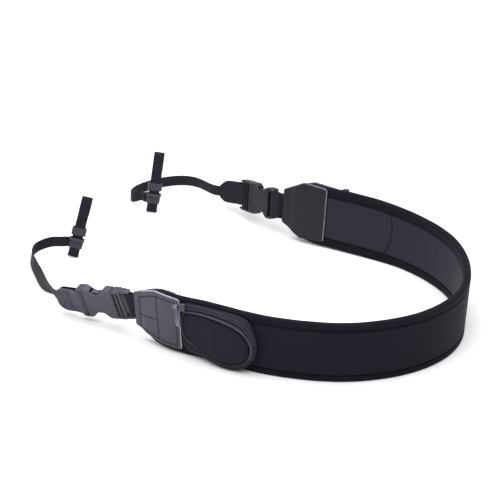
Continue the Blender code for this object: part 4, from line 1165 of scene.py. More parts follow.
        def standing(rows: Array) -> Array:
            world = self.line.place(self.tapered(rows))
            world[:, 2] = np.maximum(world[:, 2], 0.0)
            return world
        lay(made, standing)
        return dress(made, BINDING, (node,))

    def build_stitches(self) -> list[Object]:
        """The rows of stitches that hold the bindings and the lining."""
        start, stop = self.first + PAST, self.line.length - self.first - PAST
        inwards, sunk = self.stitch_place
        made = []
        for name, face, leg in (("outer", 1.0, self.binding_outer),
                                ("inner", -1.0, self.binding_inner)):
            height = self.width / 2 - leg + inwards
            lines = [np.array(((start, sign * height), (stop, sign * height)))
                     for sign in (1.0, -1.0)]
            rows = self.stitch.sew(f"binding_stitches_{name}", lines)
            offset = face * (self.edge / 2 - sunk)
            lay(rows, lambda flat, offset=offset: self.line.place(
                self.tapered(flat + (0.0, 0.0, offset))))
            made.append(dress(rows, DARK_THREAD))
        return made

    def build(self) -> list[Object]:
        """The whole band."""
        return [self.build_pad(),
                self.build_binding("top_binding_cloth", 1, "top_edge_binding"),
                self.build_binding("bottom_binding_cloth", -1, "bottom_edge_binding"),
                *self.build_stitches()]


# ================================================================ the ends
@dataclass(frozen=True)
class Link:
    """A rigid link's plan direction, downward droop and outward lean, in degrees."""

    turn: float
    droop: float
    lean: float

    def frame(self, side: Side, origin: Vector) -> Matrix:
        """Its matrix: x away from the band, z outwards."""
        turn, droop, lean = radians(self.turn), radians(self.droop), radians(self.lean)
        level = Vector((-cos(turn), sin(turn), 0.0))
        away = level * cos(droop) - Vector((0, 0, sin(droop)))
        out = Vector((-sin(turn), -cos(turn), 0.0)) * (1 if side is Side.FRONT else -1)
        out = out * cos(lean) - Vector((0, 0, sin(lean)))
        return framed(away, square_to(away, out), origin)


BUCKLE_LINK = {Side.FRONT: Link(30.0, 9.8, 15.0), Side.BACK: Link(53.5, 9.5, 11.0)}
PATCH_LINK = {Side.FRONT: Link(36.0, 9.5, 14.0), Side.BACK: Link(32.0, 6.5, 5.0)}


@dataclass(frozen=True)
class Fit:
    """What differs between the two ends."""

    bar_reach: float  # from the mouth to the buckle's nearer bar
    loop_radius: float  # of the webbing round it
    buckle_size: float
    patch_size: tuple[float, float, float]
    reversed: bool  # the female half is the nearer one
    up: int  # sign of y for the upper side


FITS = {Side.FRONT: Fit(8.8 * MM, 2.75 * MM, 1.0, (1.08, 1.0, 1.0), False, -1),
        Side.BACK: Fit(10.8 * MM, 3.05 * MM, 0.94, (1.05, 0.9, 1.0), True, 1)}


@dataclass
class End:
    """One end of the strap, and where its pieces go."""

    side: Side
    band: Band
    female_bar: float = 52.2 * MM
    patch_turn: tuple = mm(3.0, 9.0)  # where the patch turns away from its bar
    mouth_turn: tuple = (0.0, 3.2 * MM)  # and the wide webbing from the mouth

    def __post_init__(self) -> None:
        """Sets the frames of the mouth, buckle, bar and patch."""
        front = self.side is Side.FRONT
        self.fit = FITS[self.side]
        mouth, along, _, out = self.band.line.frame(0.0 if front else self.band.line.length)
        away = -along if front else along
        self.mouth = framed(away, out, mouth)
        self.near = BUCKLE_LINK[self.side].frame(self.side, mouth + away * self.fit.bar_reach)
        bar = self.near @ Vector((self.female_bar * self.fit.buckle_size, 0, 0))
        self.buckle = self.near.copy()
        if self.fit.reversed:
            self.buckle = self.near @ Matrix.Rotation(pi, 4, "Z")
            self.buckle.translation = bar
        self.buckle = self.buckle @ Matrix.Scale(self.fit.buckle_size, 4)
        patch = PATCH_LINK[self.side].frame(self.side, bar)
        across = self.near.col[1].to_3d()
        reach = square_to(across, patch.col[0].to_3d())
        hinge = framed(reach, reach.cross(across), bar)
        size = Matrix.Diagonal((*self.fit.patch_size, 1.0))
        self.patch, self.bar = patch @ size, hinge @ size

    def name(self, piece: str) -> str:
        """A piece's or a node's name at this end."""
        return f"{piece}_{self.side.value}"

    def on_band(self, flat: Array) -> Array:
        """Places of rows (distance inside the mouth, height, offset)."""
        rows = flat.copy()
        if self.side is Side.BACK:
            rows[:, 0] = self.band.line.length - rows[:, 0]
        return self.band.line.place(rows)

    def on_patch(self, flat: Array) -> Array:
        """Places on the patch, turned into line with its bar close to it."""
        share = smoothstep(flat[:, 0:1], *self.patch_turn)
        return (through_matrix(self.bar, flat) * (1.0 - share)
                + through_matrix(self.patch, flat) * share)

    def from_mouth(self, flat: Array) -> Array:
        """Places between the mouth and the buckle's bar, turned from one to the other."""
        share = smoothstep(flat[:, 0:1], *self.mouth_turn)
        fixed = through_matrix(self.mouth, flat)
        turned = through_matrix(self.near, flat - (self.fit.bar_reach, 0.0, 0.0))
        return fixed * (1.0 - share) + turned * share


@dataclass(frozen=True)
class TabShape:
    """One leather tab: its edges over the band, and the seams sewn in it."""

    length: float
    edges: tuple  # distance from the mouth, top and bottom, in millimetres
    seams: tuple
    corner: float = 3.0 * MM
    mouth_corner: float = 0.8 * MM
    sewn: bool = True  # its seams are sunk and stitched, and otherwise raised

    def read(self, along: Array, column: int) -> Array:
        """A column of the edges' table at some distances."""
        table = np.array(self.edges)
        return np.interp(along / MM, table[:, 0], table[:, column]) * MM

    def half(self, along: Array) -> Array:
        """Half its width, rounded at the corners over the band."""
        width = (self.read(along, 1) - self.read(along, 2)) / 2
        for start, sign, radius in ((self.length - self.corner, 1.0, self.corner),
                                    (self.mouth_corner, -1.0, self.mouth_corner)):
            past = np.clip(sign * (along - start), 0.0, radius)
            width -= radius - np.sqrt(np.maximum(radius ** 2 - past ** 2, 0.0))
        return width

    def centre(self, along: Array) -> Array:
        """The middle of its width."""
        return (self.read(along, 1) + self.read(along, 2)) / 2

    def inside(self, flat: Array) -> Array:
        """How far places are from its upper edge and from its edge over the band."""
        upper = self.centre(flat[:, 0]) + self.half(flat[:, 0]) - flat[:, 1]
        return np.minimum(upper, self.length - flat[:, 0])

    def rows(self) -> Array:
        """Places of its rows, closer together at its corners."""
        ends = self.corner * (1.0 - np.cos(np.linspace(0.0, pi / 2, 9)))
        straight = np.linspace(self.mouth_corner, self.length - self.corner, 84)
        return np.concatenate((np.linspace(0.0, self.mouth_corner, 4)[:-1], straight[:-1],
                               self.length - ends[::-1]))

    def lines(self) -> list[Array]:
        """Its seams as polylines."""
        return [np.array(seam) * MM for seam in self.seams]


OUTER_TAB = TabShape(
    55.0 * MM,
    ((0.0, 17.8, -16.2), (3.0, 19.2, -17.1), (8.0, 21.6, -18.2), (15.0, 24.8, -19.3),
     (22.0, 27.6, -21.0), (29.0, 29.8, -22.8), (37.0, 29.4, -23.9), (50.0, 28.6, -24.2),
     (55.0, 28.3, -24.2)),
    (((6.6, 14.0), (15.0, 18.6), (22.0, 21.6), (30.0, 24.4), (40.0, 24.0), (50.6, 23.2),
      (51.0, -20.6), (40.0, -20.6), (30.0, -19.6), (22.0, -18.0), (15.0, -16.4), (6.8, -14.6),
      (6.6, 14.0)),
     ((30.6, 24.4), (30.6, -19.6)),
     ((6.7, -2.6), (30.5, 0.2))))
INNER_TABS = {
    Side.FRONT: TabShape(
        47.2 * MM,
        ((0.0, 16.6, -14.4), (3.0, 17.8, -15.8), (8.0, 19.6, -18.4), (15.0, 22.4, -22.0),
         (22.0, 25.2, -24.6), (30.0, 27.6, -25.2), (37.0, 28.0, -25.0), (42.0, 27.9, -24.8),
         (47.2, 27.6, -24.5)),
        (((23.6, 22.6), (23.6, -21.8)),), sewn=False),
    Side.BACK: TabShape(
        47.2 * MM,
        ((0.0, 18.4, -14.4), (3.0, 20.0, -15.8), (8.0, 22.6, -18.4), (15.0, 26.2, -22.2),
         (21.8, 29.8, -25.8), (30.0, 29.4, -25.4), (37.0, 29.0, -25.2), (42.0, 28.7, -24.9),
         (47.2, 28.3, -24.6)),
        (((23.6, 25.8), (23.6, -22.4)),), sewn=False)}


@dataclass
class EndTabs:
    """The two leather tabs over one end of the band, with their stitching."""

    end: End
    thick: float = 1.2 * MM
    mouth_offset: float = 1.8 * MM
    band_offset: float = 3.9 * MM
    climb: tuple = mm(6.0, 16.0)  # where a tab comes up over the band's end
    seam: tuple = mm(0.32, 0.7)  # depth and width
    ridge: tuple = mm(-0.28, 1.3)
    # the painted highlight along a tab's upper edge and its edge over the band
    rim: tuple = mm(0.95, 0.5)  # width and fade
    rounding: float = 0.4 * MM
    stitch: Stitch = Stitch(2.4 * MM, 0.9 * MM, 0.40 * MM, 0.44 * MM)

    def laid(self, flat: Array, face: int) -> Array:
        """Places on one face of the band's end."""
        rows = flat.copy()
        rise = smoothstep(rows[:, 0], *self.climb)
        offset = self.mouth_offset + (self.band_offset - self.mouth_offset) * rise
        rows[:, 2] = face * (offset + self.thick / 2 + rows[:, 2])
        return self.end.on_band(rows)

    def build(self) -> list[Object]:
        """Both tabs and their stitches."""
        made = []
        for word, face, finish, shape in (
                ("outer", 1, OUTER_LEATHER, OUTER_TAB),
                ("inner", -1, INNER_LEATHER, INNER_TABS[self.end.side])):
            tab = ribbon(self.end.name(f"{word}_tab_leather"), shape.rows(), shape.half,
                         self.thick, 76, self.rounding, shape.centre)
            lines = shape.lines()
            # the pressed seams get painted shade in their grooves; the raised ones are cleared of it
            # below
            press(tab, lines, *(self.seam if shape.sewn else self.ridge), self.thick / 2)
            if not shape.sewn:
                mark(tab, "seam", np.zeros(len(tab.data.vertices)))
            # painted highlight on the tab's upper edge and its edge over the band
            paint_rim_highlight(tab, shape.inside(corners(tab)), *self.rim)
            lay(tab, lambda flat, face=face: self.laid(flat, face))
            made.append(dress(tab, finish, (self.end.name(f"{word}_end_tab"),)))
            if not shape.sewn:
                continue
            sewn = self.stitch.sew(self.end.name(f"{word}_tab_stitches"), lines)
            lay(sewn, lambda flat, face=face: self.laid(flat, face))
            made.append(dress(sewn, THREAD))
        return made


@dataclass
class WebbingLoop:
    """The wide webbing from between the tabs, round the buckle's nearer bar."""

    end: End
    width: float = 24.4 * MM
    thick: float = 1.2 * MM
    inside: float = 12.0 * MM
    straight: float = 0.4 * MM  # past the mouth
    gap: float = 0.3 * MM

    def build(self) -> list[Object]:
        """The loop in one piece."""
        layer = self.thick / 2 + self.gap / 2
        path = [(-self.inside, layer), (self.straight, layer)]
        fit = self.end.fit
        path += arc(fit.bar_reach, fit.loop_radius, 118.0, -118.0, 41)
        path += [(self.straight, -layer), (-self.inside, -layer)]
        line = Line.bent(dense_profile(path))
        made = webbing_run(self.end.name("webbing_loop_weave"), line, (90, 13), self.width,
                           self.thick)
        lay(made, lambda flat: self.end.from_mouth(line.place(flat)))
        return [dress(made, WEBBING, (self.end.name("webbing_loop"),))]


@dataclass
class Buckle:
    """The side-release buckle: its male half snapped into its female half."""

    end: End
    width: float = 32.0 * MM
    thick: float = 9.0 * MM
    bar_radius: float = 1.8 * MM
    shoulder: tuple = mm(5.8, 15.0)
    rails: tuple = ((-3.2, 14.5), (-2.6, 14.9), (-1.2, 15.4), (0.8, 15.8), (4.0, 16.0))
    rail_inner: float = 13.3 * MM
    rail_thick: float = 5.8 * MM
    sunk: tuple = (mm(7.4, 10.0), mm(11.4, 14.0))
    sink: float = 1.0 * MM
    sink_side: float = 2.2 * MM
    sink_shade: float = 0.6
    shoulder_rounding: float = 1.3 * MM
    shell_rounding: float = 1.0 * MM
    rail_rounding: float = 0.4 * MM
    rounding: float = 0.3 * MM
    rail_root: float = 1.2 * MM  # how far the rails run into the shoulder
    button_rim: tuple = mm(0.6, 0.2)
    prong: tuple = mm(38.6, 7.6, 11.4, 4.6)
    button: tuple = mm(29.6, 37.2, 12.2)
    guide: tuple = mm(31.0, 4.0)
    cavity: tuple = mm(13.5, 41.4, 26.0, 5.8)
    slot: tuple = mm(46.6, 50.8)
    bar_thick: float = 3.2 * MM
    outline: tuple = ((15.5, 16.0), (22.8, 16.0), (25.6, 14.4), (28.6, 11.7), (31.2, 10.4),
                      (33.4, 10.1), (35.6, 10.4), (38.2, 11.7), (41.2, 14.4), (44.0, 15.9),
                      (48.4, 16.0), (51.6, 15.6), (53.6, 14.4))

    def male(self) -> Object:
        """The male half, lying flat."""
        wide, thick = self.width / 2, self.thick / 2
        low, high = self.shoulder
        body = soften(block("male", (low, -wide, -thick), (high, wide, thick)),
                      self.shoulder_rounding, 4)
        sinks = []
        for start, stop in self.sunk:
            for sign in (-1, 1):
                sinks.append(block("sink", (start, self.sink_side - wide, sign * (thick - self.sink)),
                                   (stop, wide - self.sink_side, sign * (thick + PAST))))
        combine(body, sinks, "DIFFERENCE")
        reach, inner, outer, tall = self.prong
        parts = [rod("bar", (0, -self.rail_inner - PAST, 0), (0, self.rail_inner + PAST, 0),
                     self.bar_radius, 28)]
        for side in (-1, 1):
            edge = [(x * MM, side * half * MM) for x, half in self.rails]
            root = low + self.rail_root
            edge += [(root, side * wide), (root, side * self.rail_inner),
                     (edge[0][0], side * self.rail_inner)]
            parts.append(plate("rail", np.array(edge), self.rail_thick / 2, self.rail_rounding))
            parts.append(block("prong", (high - PAST, side * inner, -tall / 2),
                               (reach, side * outer, tall / 2)))
            start, stop, out = self.button
            rim, lower = self.button_rim
            knob = block("button", (start, side * (inner + rim), -tall / 2 + lower),
                         (stop, side * out, tall / 2 - lower))
            parts.append(soften(knob, rim, 2))
        parts.append(block("guide", (high - PAST, -self.guide[1] / 2, -tall / 2),
                           (self.guide[0], self.guide[1] / 2, tall / 2)))
        return soften(combine(body, parts, "UNION"), self.rounding, 2, 50.0)

    def in_sink(self, flat: Array) -> Array:
        """How far places on the male half lie in the shade of its sunk faces."""
        deep = np.abs(flat[:, 2]) < self.thick / 2 - 0.7 * self.sink
        inside = (flat[:, 0] > self.sunk[0][0]) & (flat[:, 0] < self.shoulder[1])
        return self.sink_shade * (deep & inside)

    def shell(self) -> Object:
        """The female half's body: its outline, given its depth."""
        rows = np.array([(x, half, 0.0, 0.0) for x, half in self.outline]) * MM
        upper = spline(rows, 46)[:, :2]
        upper[:, 1] = np.minimum(upper[:, 1], self.width / 2)
        edge = np.concatenate((upper, upper[::-1] * (1.0, -1.0)))
        return plate("female", edge, self.thick / 2, self.shell_rounding)

    def female(self) -> Object:
        """The female half, lying flat."""
        body = self.shell()
        start, end, width, height = self.cavity
        tall, far = self.thick, self.outline[-1][0] * MM + 2.0 * PAST
        cuts = [block("cavity", (start, -width / 2, -height / 2), (end, width / 2, height / 2)),
                block("slot", (self.slot[0], -self.rail_inner, -tall),
                      (self.slot[1], self.rail_inner, tall))]
        for side in (-1, 1):
            cuts.append(block("relief", (self.slot[1] - PAST / 2, -self.rail_inner,
                                         side * self.bar_thick / 2),
                              (far, self.rail_inner, side * tall)))
        return soften(combine(body, cuts, "DIFFERENCE"), self.rounding, 2, 50.0)

    def build(self) -> list[Object]:
        """Both halves, in place."""
        made = []
        for half, word in ((self.male(), "male"), (self.female(), "female")):
            piece = join([half], self.end.name(f"{word}_buckle_moulding"))
            if word == "male":
                # painted shade on the male half's sunk faces, as the seam attribute
                mark(piece, "seam", self.in_sink(corners(piece)))
            stand(piece, self.end.buckle)
            # the back end's buckle takes the darker copy, as painted shade
            finish = SHADED_PLASTIC if self.end.fit.reversed else PLASTIC
            made.append(dress(piece, finish, (self.end.name(f"{word}_buckle"),)))
        return made


@dataclass
class Patch:
    """The fold of webbing round the buckle's farther bar, and its leather patch."""

    end: End
    length: float = 26.5 * MM
    half: float = 12.1 * MM
    margin: float = 0.8 * MM
    rounding: float = 10.0 * MM
    fold_radius: float = 3.05 * MM
    layer: float = 1.5 * MM
    webbing_thick: float = 1.2 * MM
    leather_radius: float = 4.5 * MM
    leather_layer: float = 2.95 * MM
    leather_thick: float = 1.1 * MM
    box_start: float = 11.6 * MM
    box_end: float = 23.0 * MM
    box_half: float = 8.4 * MM
    crease: float = 10.8 * MM
    seam: tuple = mm(0.30, 0.55)  # depth and width
    turns: tuple = mm(7.5, 8.5)  # where webbing and leather bend to the bar
    stitch: Stitch = Stitch(2.0 * MM, 0.5 * MM, 0.24 * MM, 0.43 * MM)

    def half_at(self, away: Array) -> Array:
        """Half its width at some distances from the bar, rounded at its outer end."""
        start = self.length - self.rounding
        across = np.clip((away - start) / self.rounding, 0.0, 1.0)
        return self.half - self.rounding * 0.86 * (1.0 - np.sqrt(1.0 - across ** 2))

    def strip(self, name: str, path: list[tuple], thick: float, folded: bool) -> tuple:
        """A flat strip for a path that starts at the outer end.

        Args:
            name: The object's name.
            path: Its profile, as x and z.
            thick: Its thickness.
            folded: Whether the path comes back to the outer end.

        Returns:
            The flat object and the line that it follows.
        """
        line = Line.bent(dense_profile(path, 0.12 * MM))
        bow = self.rounding * (1.0 - np.cos(np.linspace(0.0, pi / 2, 10)))
        rows = [*bow, *np.linspace(self.rounding, line.length, 60)[1:]]
        if folded:
            rows = [*bow, *np.linspace(self.rounding, line.length - self.rounding, 64)[1:-1],
                    *(line.length - bow[::-1])]

        def half(along: Array) -> Array:
            near = np.minimum(along, line.length - along) if folded else along
            return self.half_at(self.length - near) - (self.margin if folded else 0.0)
        return ribbon(name, np.array(rows), half, thick, 42 if not folded else 14, 0.3 * MM), line

    def lines(self) -> list[Array]:
        """The crossed box of stitches, in the leather's length from its outer end."""
        near, far = self.length - self.box_start, self.length - self.box_end
        half = self.box_half
        bow = [(far + 1.3 * MM * (1.0 - cos(a)) * 2, half * sin(a) / sin(1.15))
               for a in np.linspace(-1.15, 1.15, 9)]
        ring = np.array([*bow, (near, half), (near, -half), bow[0]])
        cross = [np.array((bow[0], (near, half))), np.array((bow[-1], (near, -half)))]
        return [ring, *cross]

    def build(self) -> list[Object]:
        """The webbing, the leather and the stitches."""
        places = [(self.length, self.layer), (self.turns[0], self.layer)]
        turn = arc(0.0, self.fold_radius, 72.0, 288.0, 41)
        path = places + turn + [(x, -z) for x, z in reversed(places)]
        webbing, line = self.strip(self.end.name("patch_webbing_weave"), path,
                                   self.webbing_thick, True)
        lay(webbing, lambda flat: self.end.on_patch(line.place(flat * (1.0, 1.0, -1.0))))
        path = [(self.length, self.leather_layer), (self.turns[1], self.leather_layer)]
        path += arc(0.0, self.leather_radius, 70.0, 205.0, 31)
        leather, cover = self.strip(self.end.name("patch_leather_cover"), path,
                                    self.leather_thick, False)
        fold = np.array(((1.0, -1.3 * self.half), (1.0, 1.3 * self.half)))
        fold[:, 0] = self.length - self.crease
        # the stitched box and the crease get painted shade in their grooves
        press(leather, [*self.lines(), fold], *self.seam, self.leather_thick / 2)
        thread = self.stitch.sew(self.end.name("patch_stitches"), self.lines())
        for piece in (leather, thread):
            lay(piece, lambda flat: self.end.on_patch(cover.place(flat * (1.0, 1.0, -1.0))))
        mark_edges(leather, 0.4)
        return [dress(webbing, WEBBING, (self.end.name("patch_webbing"),)),
                dress(leather, PATCH_LEATHER, (self.end.name("leather_patch"),)),
                dress(thread, THREAD)]


# In millimetres and degrees: the upright loop's x, y and lean; the narrow webbing's places
# along and up the patch; and its x, y, z and lean from there to the slider.
LUG_LOOPS = {Side.FRONT: (-169.2, -13.4, 14.2), Side.BACK: (-97.0, 86.5, 8.0)}
EXITS = {Side.FRONT: ((12.0, 0.0), (18.0, 0.3), (24.0, 0.8), (28.0, 1.6)),
         Side.BACK: ((13.0, 0.0), (20.5, 0.0), (26.5, 0.0), (30.5, 0.0))}
TURNS = {
    Side.FRONT: (
        (-182.6, -118.0, 16.8, 20.0), (-187.4, -106.0, 14.2, -2.0), (-193.3, -86.0, 9.6, -30.0),
        (-199.6, -58.0, 6.3, -34.0), (-205.6, -35.5, 5.6, -20.0), (-207.4, -21.5, 5.9, -8.0),
        (-204.0, -9.2, 7.8, 0.0), (-196.4, -3.6, 9.4, 0.0), (-186.9, -4.6, 12.3, 0.0),
        (-179.8, -7.8, 13.8, 0.0)),
    Side.BACK: (
        (-42.5, 107.8, 17.0, 0.0), (-50.0, 117.6, 16.2, 0.0), (-61.0, 129.0, 13.8, 2.0),
        (-77.0, 137.0, 10.0, 4.0), (-96.0, 136.5, 6.6, 4.0), (-111.0, 126.0, 5.8, 2.0),
        (-117.0, 110.0, 7.6, 0.0), (-113.4, 97.6, 11.4, 0.0), (-105.0, 92.4, 14.6, 0.0))}


@dataclass
class LugStrap:
    """The narrow webbing, and the upright loop for a lug with its two adjusters."""

    end: End
    width: float = 10.0 * MM
    thick: float = 1.2 * MM
    height: float = 63.0 * MM
    layer: float = 0.8 * MM
    tail: float = 9.4 * MM
    eye_start: float = 43.0 * MM
    eye_half: float = 3.9 * MM
    slider: tuple = mm(14.4, 10.2, 5.6)
    keeper: tuple = mm(13.8, 7.8, 5.2)
    keeper_height: float = 27.0 * MM
    sleeve_hole: tuple = mm(10.9, 3.3)
    sleeve_rounding: float = 1.2 * MM
    lip_tall: float = 2.6 * MM
    lip_rounding: float = 0.9 * MM
    rounding: float = 0.25 * MM
    behind: float = 3.9 * MM

    def frame(self) -> Matrix:
        """The upright loop's matrix: x to the right, y away from the viewer, z up."""
        x, y, lean = LUG_LOOPS[self.end.side]
        made = Matrix.Rotation(radians(lean), 4, "Y")
        made.translation = (*plan(x, y), self.width / 2 * sin(radians(lean)))
        return made

    def route(self) -> Line:
        """The narrow webbing's middle line, from inside the patch to the slider."""
        lean, up = PATCH_LINK[self.end.side].lean, self.end.fit.up
        rows = [(*(self.end.patch @ Vector((x * MM, up * rise * MM, 0))), lean)
                for x, rise in EXITS[self.end.side]]
        rows += [(*plan(x, y), z * MM, turn) for x, y, z, turn in TURNS[self.end.side]]
        reach = self.slider[0] / 2
        middle = self.frame() @ Vector((0.0, self.behind, self.tail + self.slider[1] / 2))
        for x in (-reach - 2.0 * MM, -reach + 1.0 * MM, 0.0, reach - 1.5 * MM):
            rows.append((middle.x + x, middle.y, middle.z - 0.9 * MM - 0.05 * x, 0.0))
        return Line.through(np.array(rows), -1 if self.end.side is Side.FRONT else 1)

    def loop_line(self) -> Line:
        """The doubled webbing's profile: tail, front layer, open eye and back layer."""
        rise = self.height - self.eye_start
        path = [(-self.layer, 0.0), (-self.layer, 0.5 * self.eye_start),
                (-self.layer, self.eye_start - 4.0 * MM), (-self.layer, self.eye_start),
                (-self.eye_half * 0.72, self.eye_start + 0.22 * rise),
                (-self.eye_half, self.eye_start + 0.45 * rise),
                (-self.eye_half, self.eye_start + 0.70 * rise),
                (-self.eye_half * 0.66, self.eye_start + 0.90 * rise),
                (-self.eye_half * 0.2, self.height)]
        path += [(-depth, height) for depth, height in reversed(path[1:])]
        path.append((self.layer, self.tail - 0.6 * MM))
        rows = np.array([(depth, height, 0.0, 0.0) for depth, height in path])
        line = Line.bent(spline(rows, 700)[:, :2])
        turn = np.array(((0.0, 1.0, 0.0), (1.0, 0.0, 0.0), (0.0, 0.0, 1.0)))
        return Line(line.points @ turn, line.ups @ turn, line.outs @ turn)

    def sleeve(self, name: str, size: tuple, height: float, lip: float) -> Object:
        """A flat sleeve with a hole for both layers, and a lip round its top.

        Args:
            name: The object's name.
            size: Width, height and depth.
            height: Its middle's height.
            lip: How far the lip stands out.

        Returns:
            The sleeve, upright at the origin.
        """
        wide, tall, deep = size
        body = soften(block(name, (-wide / 2 + lip, -deep / 2 + lip / 2, height - tall / 2),
                            (wide / 2 - lip, deep / 2 - lip / 2, height + tall / 2)),
                      self.sleeve_rounding, 4)
        if lip > 0.0:
            top = block("lip", (-wide / 2, -deep / 2, height + tall / 2 - self.lip_tall),
                        (wide / 2, deep / 2, height + tall / 2))
            combine(body, [soften(top, self.lip_rounding, 3)], "UNION")
        hole_wide, hole_deep = self.sleeve_hole
        hole = block("hole", (-hole_wide / 2, -hole_deep / 2, height - tall),
                     (hole_wide / 2, hole_deep / 2, height + tall))
        return soften(combine(body, [hole], "DIFFERENCE"), self.rounding, 2, 50.0)

    def build(self) -> list[Object]:
        """The webbing, the loop and its adjusters."""
        route, loop = self.route(), self.loop_line()
        webbing = webbing_run(self.end.name("narrow_webbing_weave"), route, (240, 9), self.width,
                              self.thick)
        lay(webbing, route.place)
        upright = webbing_run(self.end.name("lug_loop_weave"), loop, (200, 9), self.width,
                              self.thick)
        lay(upright, lambda flat: through_matrix(self.frame(), loop.place(flat)))
        made = [dress(webbing, WEBBING, (self.end.name("narrow_webbing"),)),
                dress(upright, WEBBING, (self.end.name("lug_loop"),))]
        for word, size, height, lip in (
                ("slider", self.slider, self.tail + self.slider[1] / 2, 0.7 * MM),
                ("keeper", self.keeper, self.keeper_height, 0.0)):
            piece = self.sleeve(self.end.name(f"{word}_moulding"), size, height, lip)
            stand(piece, self.frame())
            made.append(dress(piece, DARK_PLASTIC, (self.end.name(f"strap_{word}"),)))
        return made


# ================================================================ the pocket
@dataclass
class Pocket:
    """The zipped pocket on the band's outer face: wall, panel, zip and pull."""

    end: End
    base: float = 4.6 * MM
    rise: float = 7.4 * MM
    ribs: tuple = (  # the wall's foot and the panel's edge, over the band
        (131.6, -2.0, 128.6, -2.8), (130.8, 8.4, 126.6, 6.8), (128.0, 18.6, 120.6, 14.4),
        (121.4, 25.8, 110.6, 18.8), (106.6, 27.6, 98.6, 20.7), (92.0, 27.7, 86.4, 20.8),
        (78.0, 27.4, 74.6, 19.6), (65.4, 27.2, 64.8, 18.3), (58.0, 25.0, 59.8, 15.0),
        (56.8, 8.0, 58.7, 5.6), (57.8, -17.6, 60.0, -6.0), (66.4, -24.6, 67.4, -10.8),
        (81.0, -26.6, 81.0, -16.4), (97.0, -28.3, 96.0, -20.2), (113.0, -27.6, 110.4, -20.6),
        (126.0, -17.6, 122.8, -14.6))
    panel_start: float = 58.6 * MM
    panel_middle: tuple = mm(94.0, 0.4)
    climb: float = 40.0 * MM
    dome: float = 1.6 * MM
    panel_thick: float = 1.8 * MM
    panel_inset: float = 0.95 * MM
    panel_lift: float = 0.3 * MM
    panel_sunk: float = 0.35 * MM
    panel_rounding: float = 0.5 * MM
    panel_edge_shade: tuple = (0.8, 1.6 * MM)  # shade and width
    skin: tuple = (  # share of the wall's height, and out
        (0.0, 0.35), (0.0, 0.65), (0.03, 0.75), (0.10, 0.75), (0.20, 0.78), (0.30, 0.80),
        (0.40, 0.80), (0.50, 0.80), (0.58, 0.76), (0.66, 0.66), (0.72, 0.50), (0.76, 0.55),
        (0.80, 0.95), (0.85, 1.25), (0.90, 1.35), (0.95, 1.20), (0.99, 0.85), (1.01, 0.40),
        (1.01, -0.10), (0.99, -0.6), (0.95, -0.75), (0.75, -0.75), (0.5, -0.75), (0.25, -0.75),
        (0.03, -0.75), (0.0, -0.5))
    wall: float = 1.5 * MM
    bulge: tuple = mm(0.5, 3.2)
    points: int = 32
    zip_width: float = 4.2 * MM
    zip_thick: float = 0.8 * MM
    zip_profile: tuple = (  # across the zip, and out of the wall
        (-1.0, 0.5), (-0.92, 0.85), (-0.7, 1.05), (-0.42, 1.08), (-0.24, 0.9), (-0.14, 0.62),
        (0.0, 0.55), (0.14, 0.62), (0.24, 0.9), (0.42, 1.08), (0.7, 1.05), (0.92, 0.85),
        (1.0, 0.5), (0.6, 0.4), (-0.6, 0.4), (-1.0, 0.5))
    zip_place: tuple = (0.54, 0.30)
    zip_arc: tuple = (1.0, 15.0)
    slider_point: float = 15.3
    tooth: Stitch = Stitch(1.3 * MM, 0.0, 0.36 * MM)
    slider_body: tuple = mm(6.6, 7.0, 2.6)
    slider_under: float = 0.6 * MM
    slider_rounding: float = 1.1 * MM
    pin: tuple = mm(-0.8, 0.75, 5.4)  # its root, radius and tip
    pin_head: tuple = (0.7 * MM, 1.9, 0.25 * MM)  # long, times the radius, and rounded
    pull_size: tuple = mm(4.2, 19.0, 1.3)
    pull_eye: tuple = mm(2.1, 1.1)
    pull_start: float = 0.35 * MM
    pull_rounding: float = 0.4 * MM
    gap: float = 0.3 * MM
    wall_length: float = 234.0 * MM
    zip_length: float = 96.0 * MM
    coil_lift: float = 0.75 * MM
    welt_width: float = 1.05 * MM
    welt_folds: tuple = mm(-2.2, 1.6)
    fold_width: float = 0.6 * MM
    # the welt's painted highlight fades below the middle; painted shade darkens the lower wall and the
    # wall beside the tab
    welt_dim: tuple = mm(4.0, 14.0)  # below the middle, the welt gets darker
    low_shade: tuple = mm(10.0, 20.0)  # and so does the wall
    tab_shade: tuple = mm(61.0, 64.0)  # the wall beside the tab, from the mouth

    def __post_init__(self) -> None:
        """Fits a closed smooth line through the ribs of the side wall."""
        self.table = np.array(self.ribs) * MM
        ahead, behind = np.roll(self.table, -1, 0), np.roll(self.table, 1, 0)
        one = np.eye(len(self.table))
        matrix = 4.0 * one + np.roll(one, 1, 0) + np.roll(one, -1, 0)
        self.bends = np.linalg.solve(matrix, 6.0 * (ahead - 2.0 * self.table + behind))

    def rib(self, angle: Array) -> Array:
        """The ribs' foot and edge at some angles, between the ones of the table."""
        count = len(self.table)
        place = np.mod(np.asarray(angle) / tau * count, count)
        i = np.floor(place).astype(int) % count
        share = (place - np.floor(place))[..., None]
        return between(self.table, self.bends, i, (i + 1) % count, share)

    def foot(self, angle: Array) -> Array:
        """The wall's foot on the band."""
        row = self.rib(angle)
        return np.stack((row[..., 0], row[..., 1], np.full(row.shape[:-1], self.base)), -1)

    def rim(self, angle: Array, shrink: Array | float = 0.0) -> Array:
        """The panel's edge, or a ring inside it."""
        row = self.rib(angle)
        x = row[..., 2] + (self.panel_middle[0] - row[..., 2]) * shrink
        y = row[..., 3] + (self.panel_middle[1] - row[..., 3]) * shrink
        climb = smoothstep(x, self.panel_start, self.panel_start + self.climb)
        return np.stack((x, y, self.base + self.rise * (0.30 + 0.70 * climb)), -1)

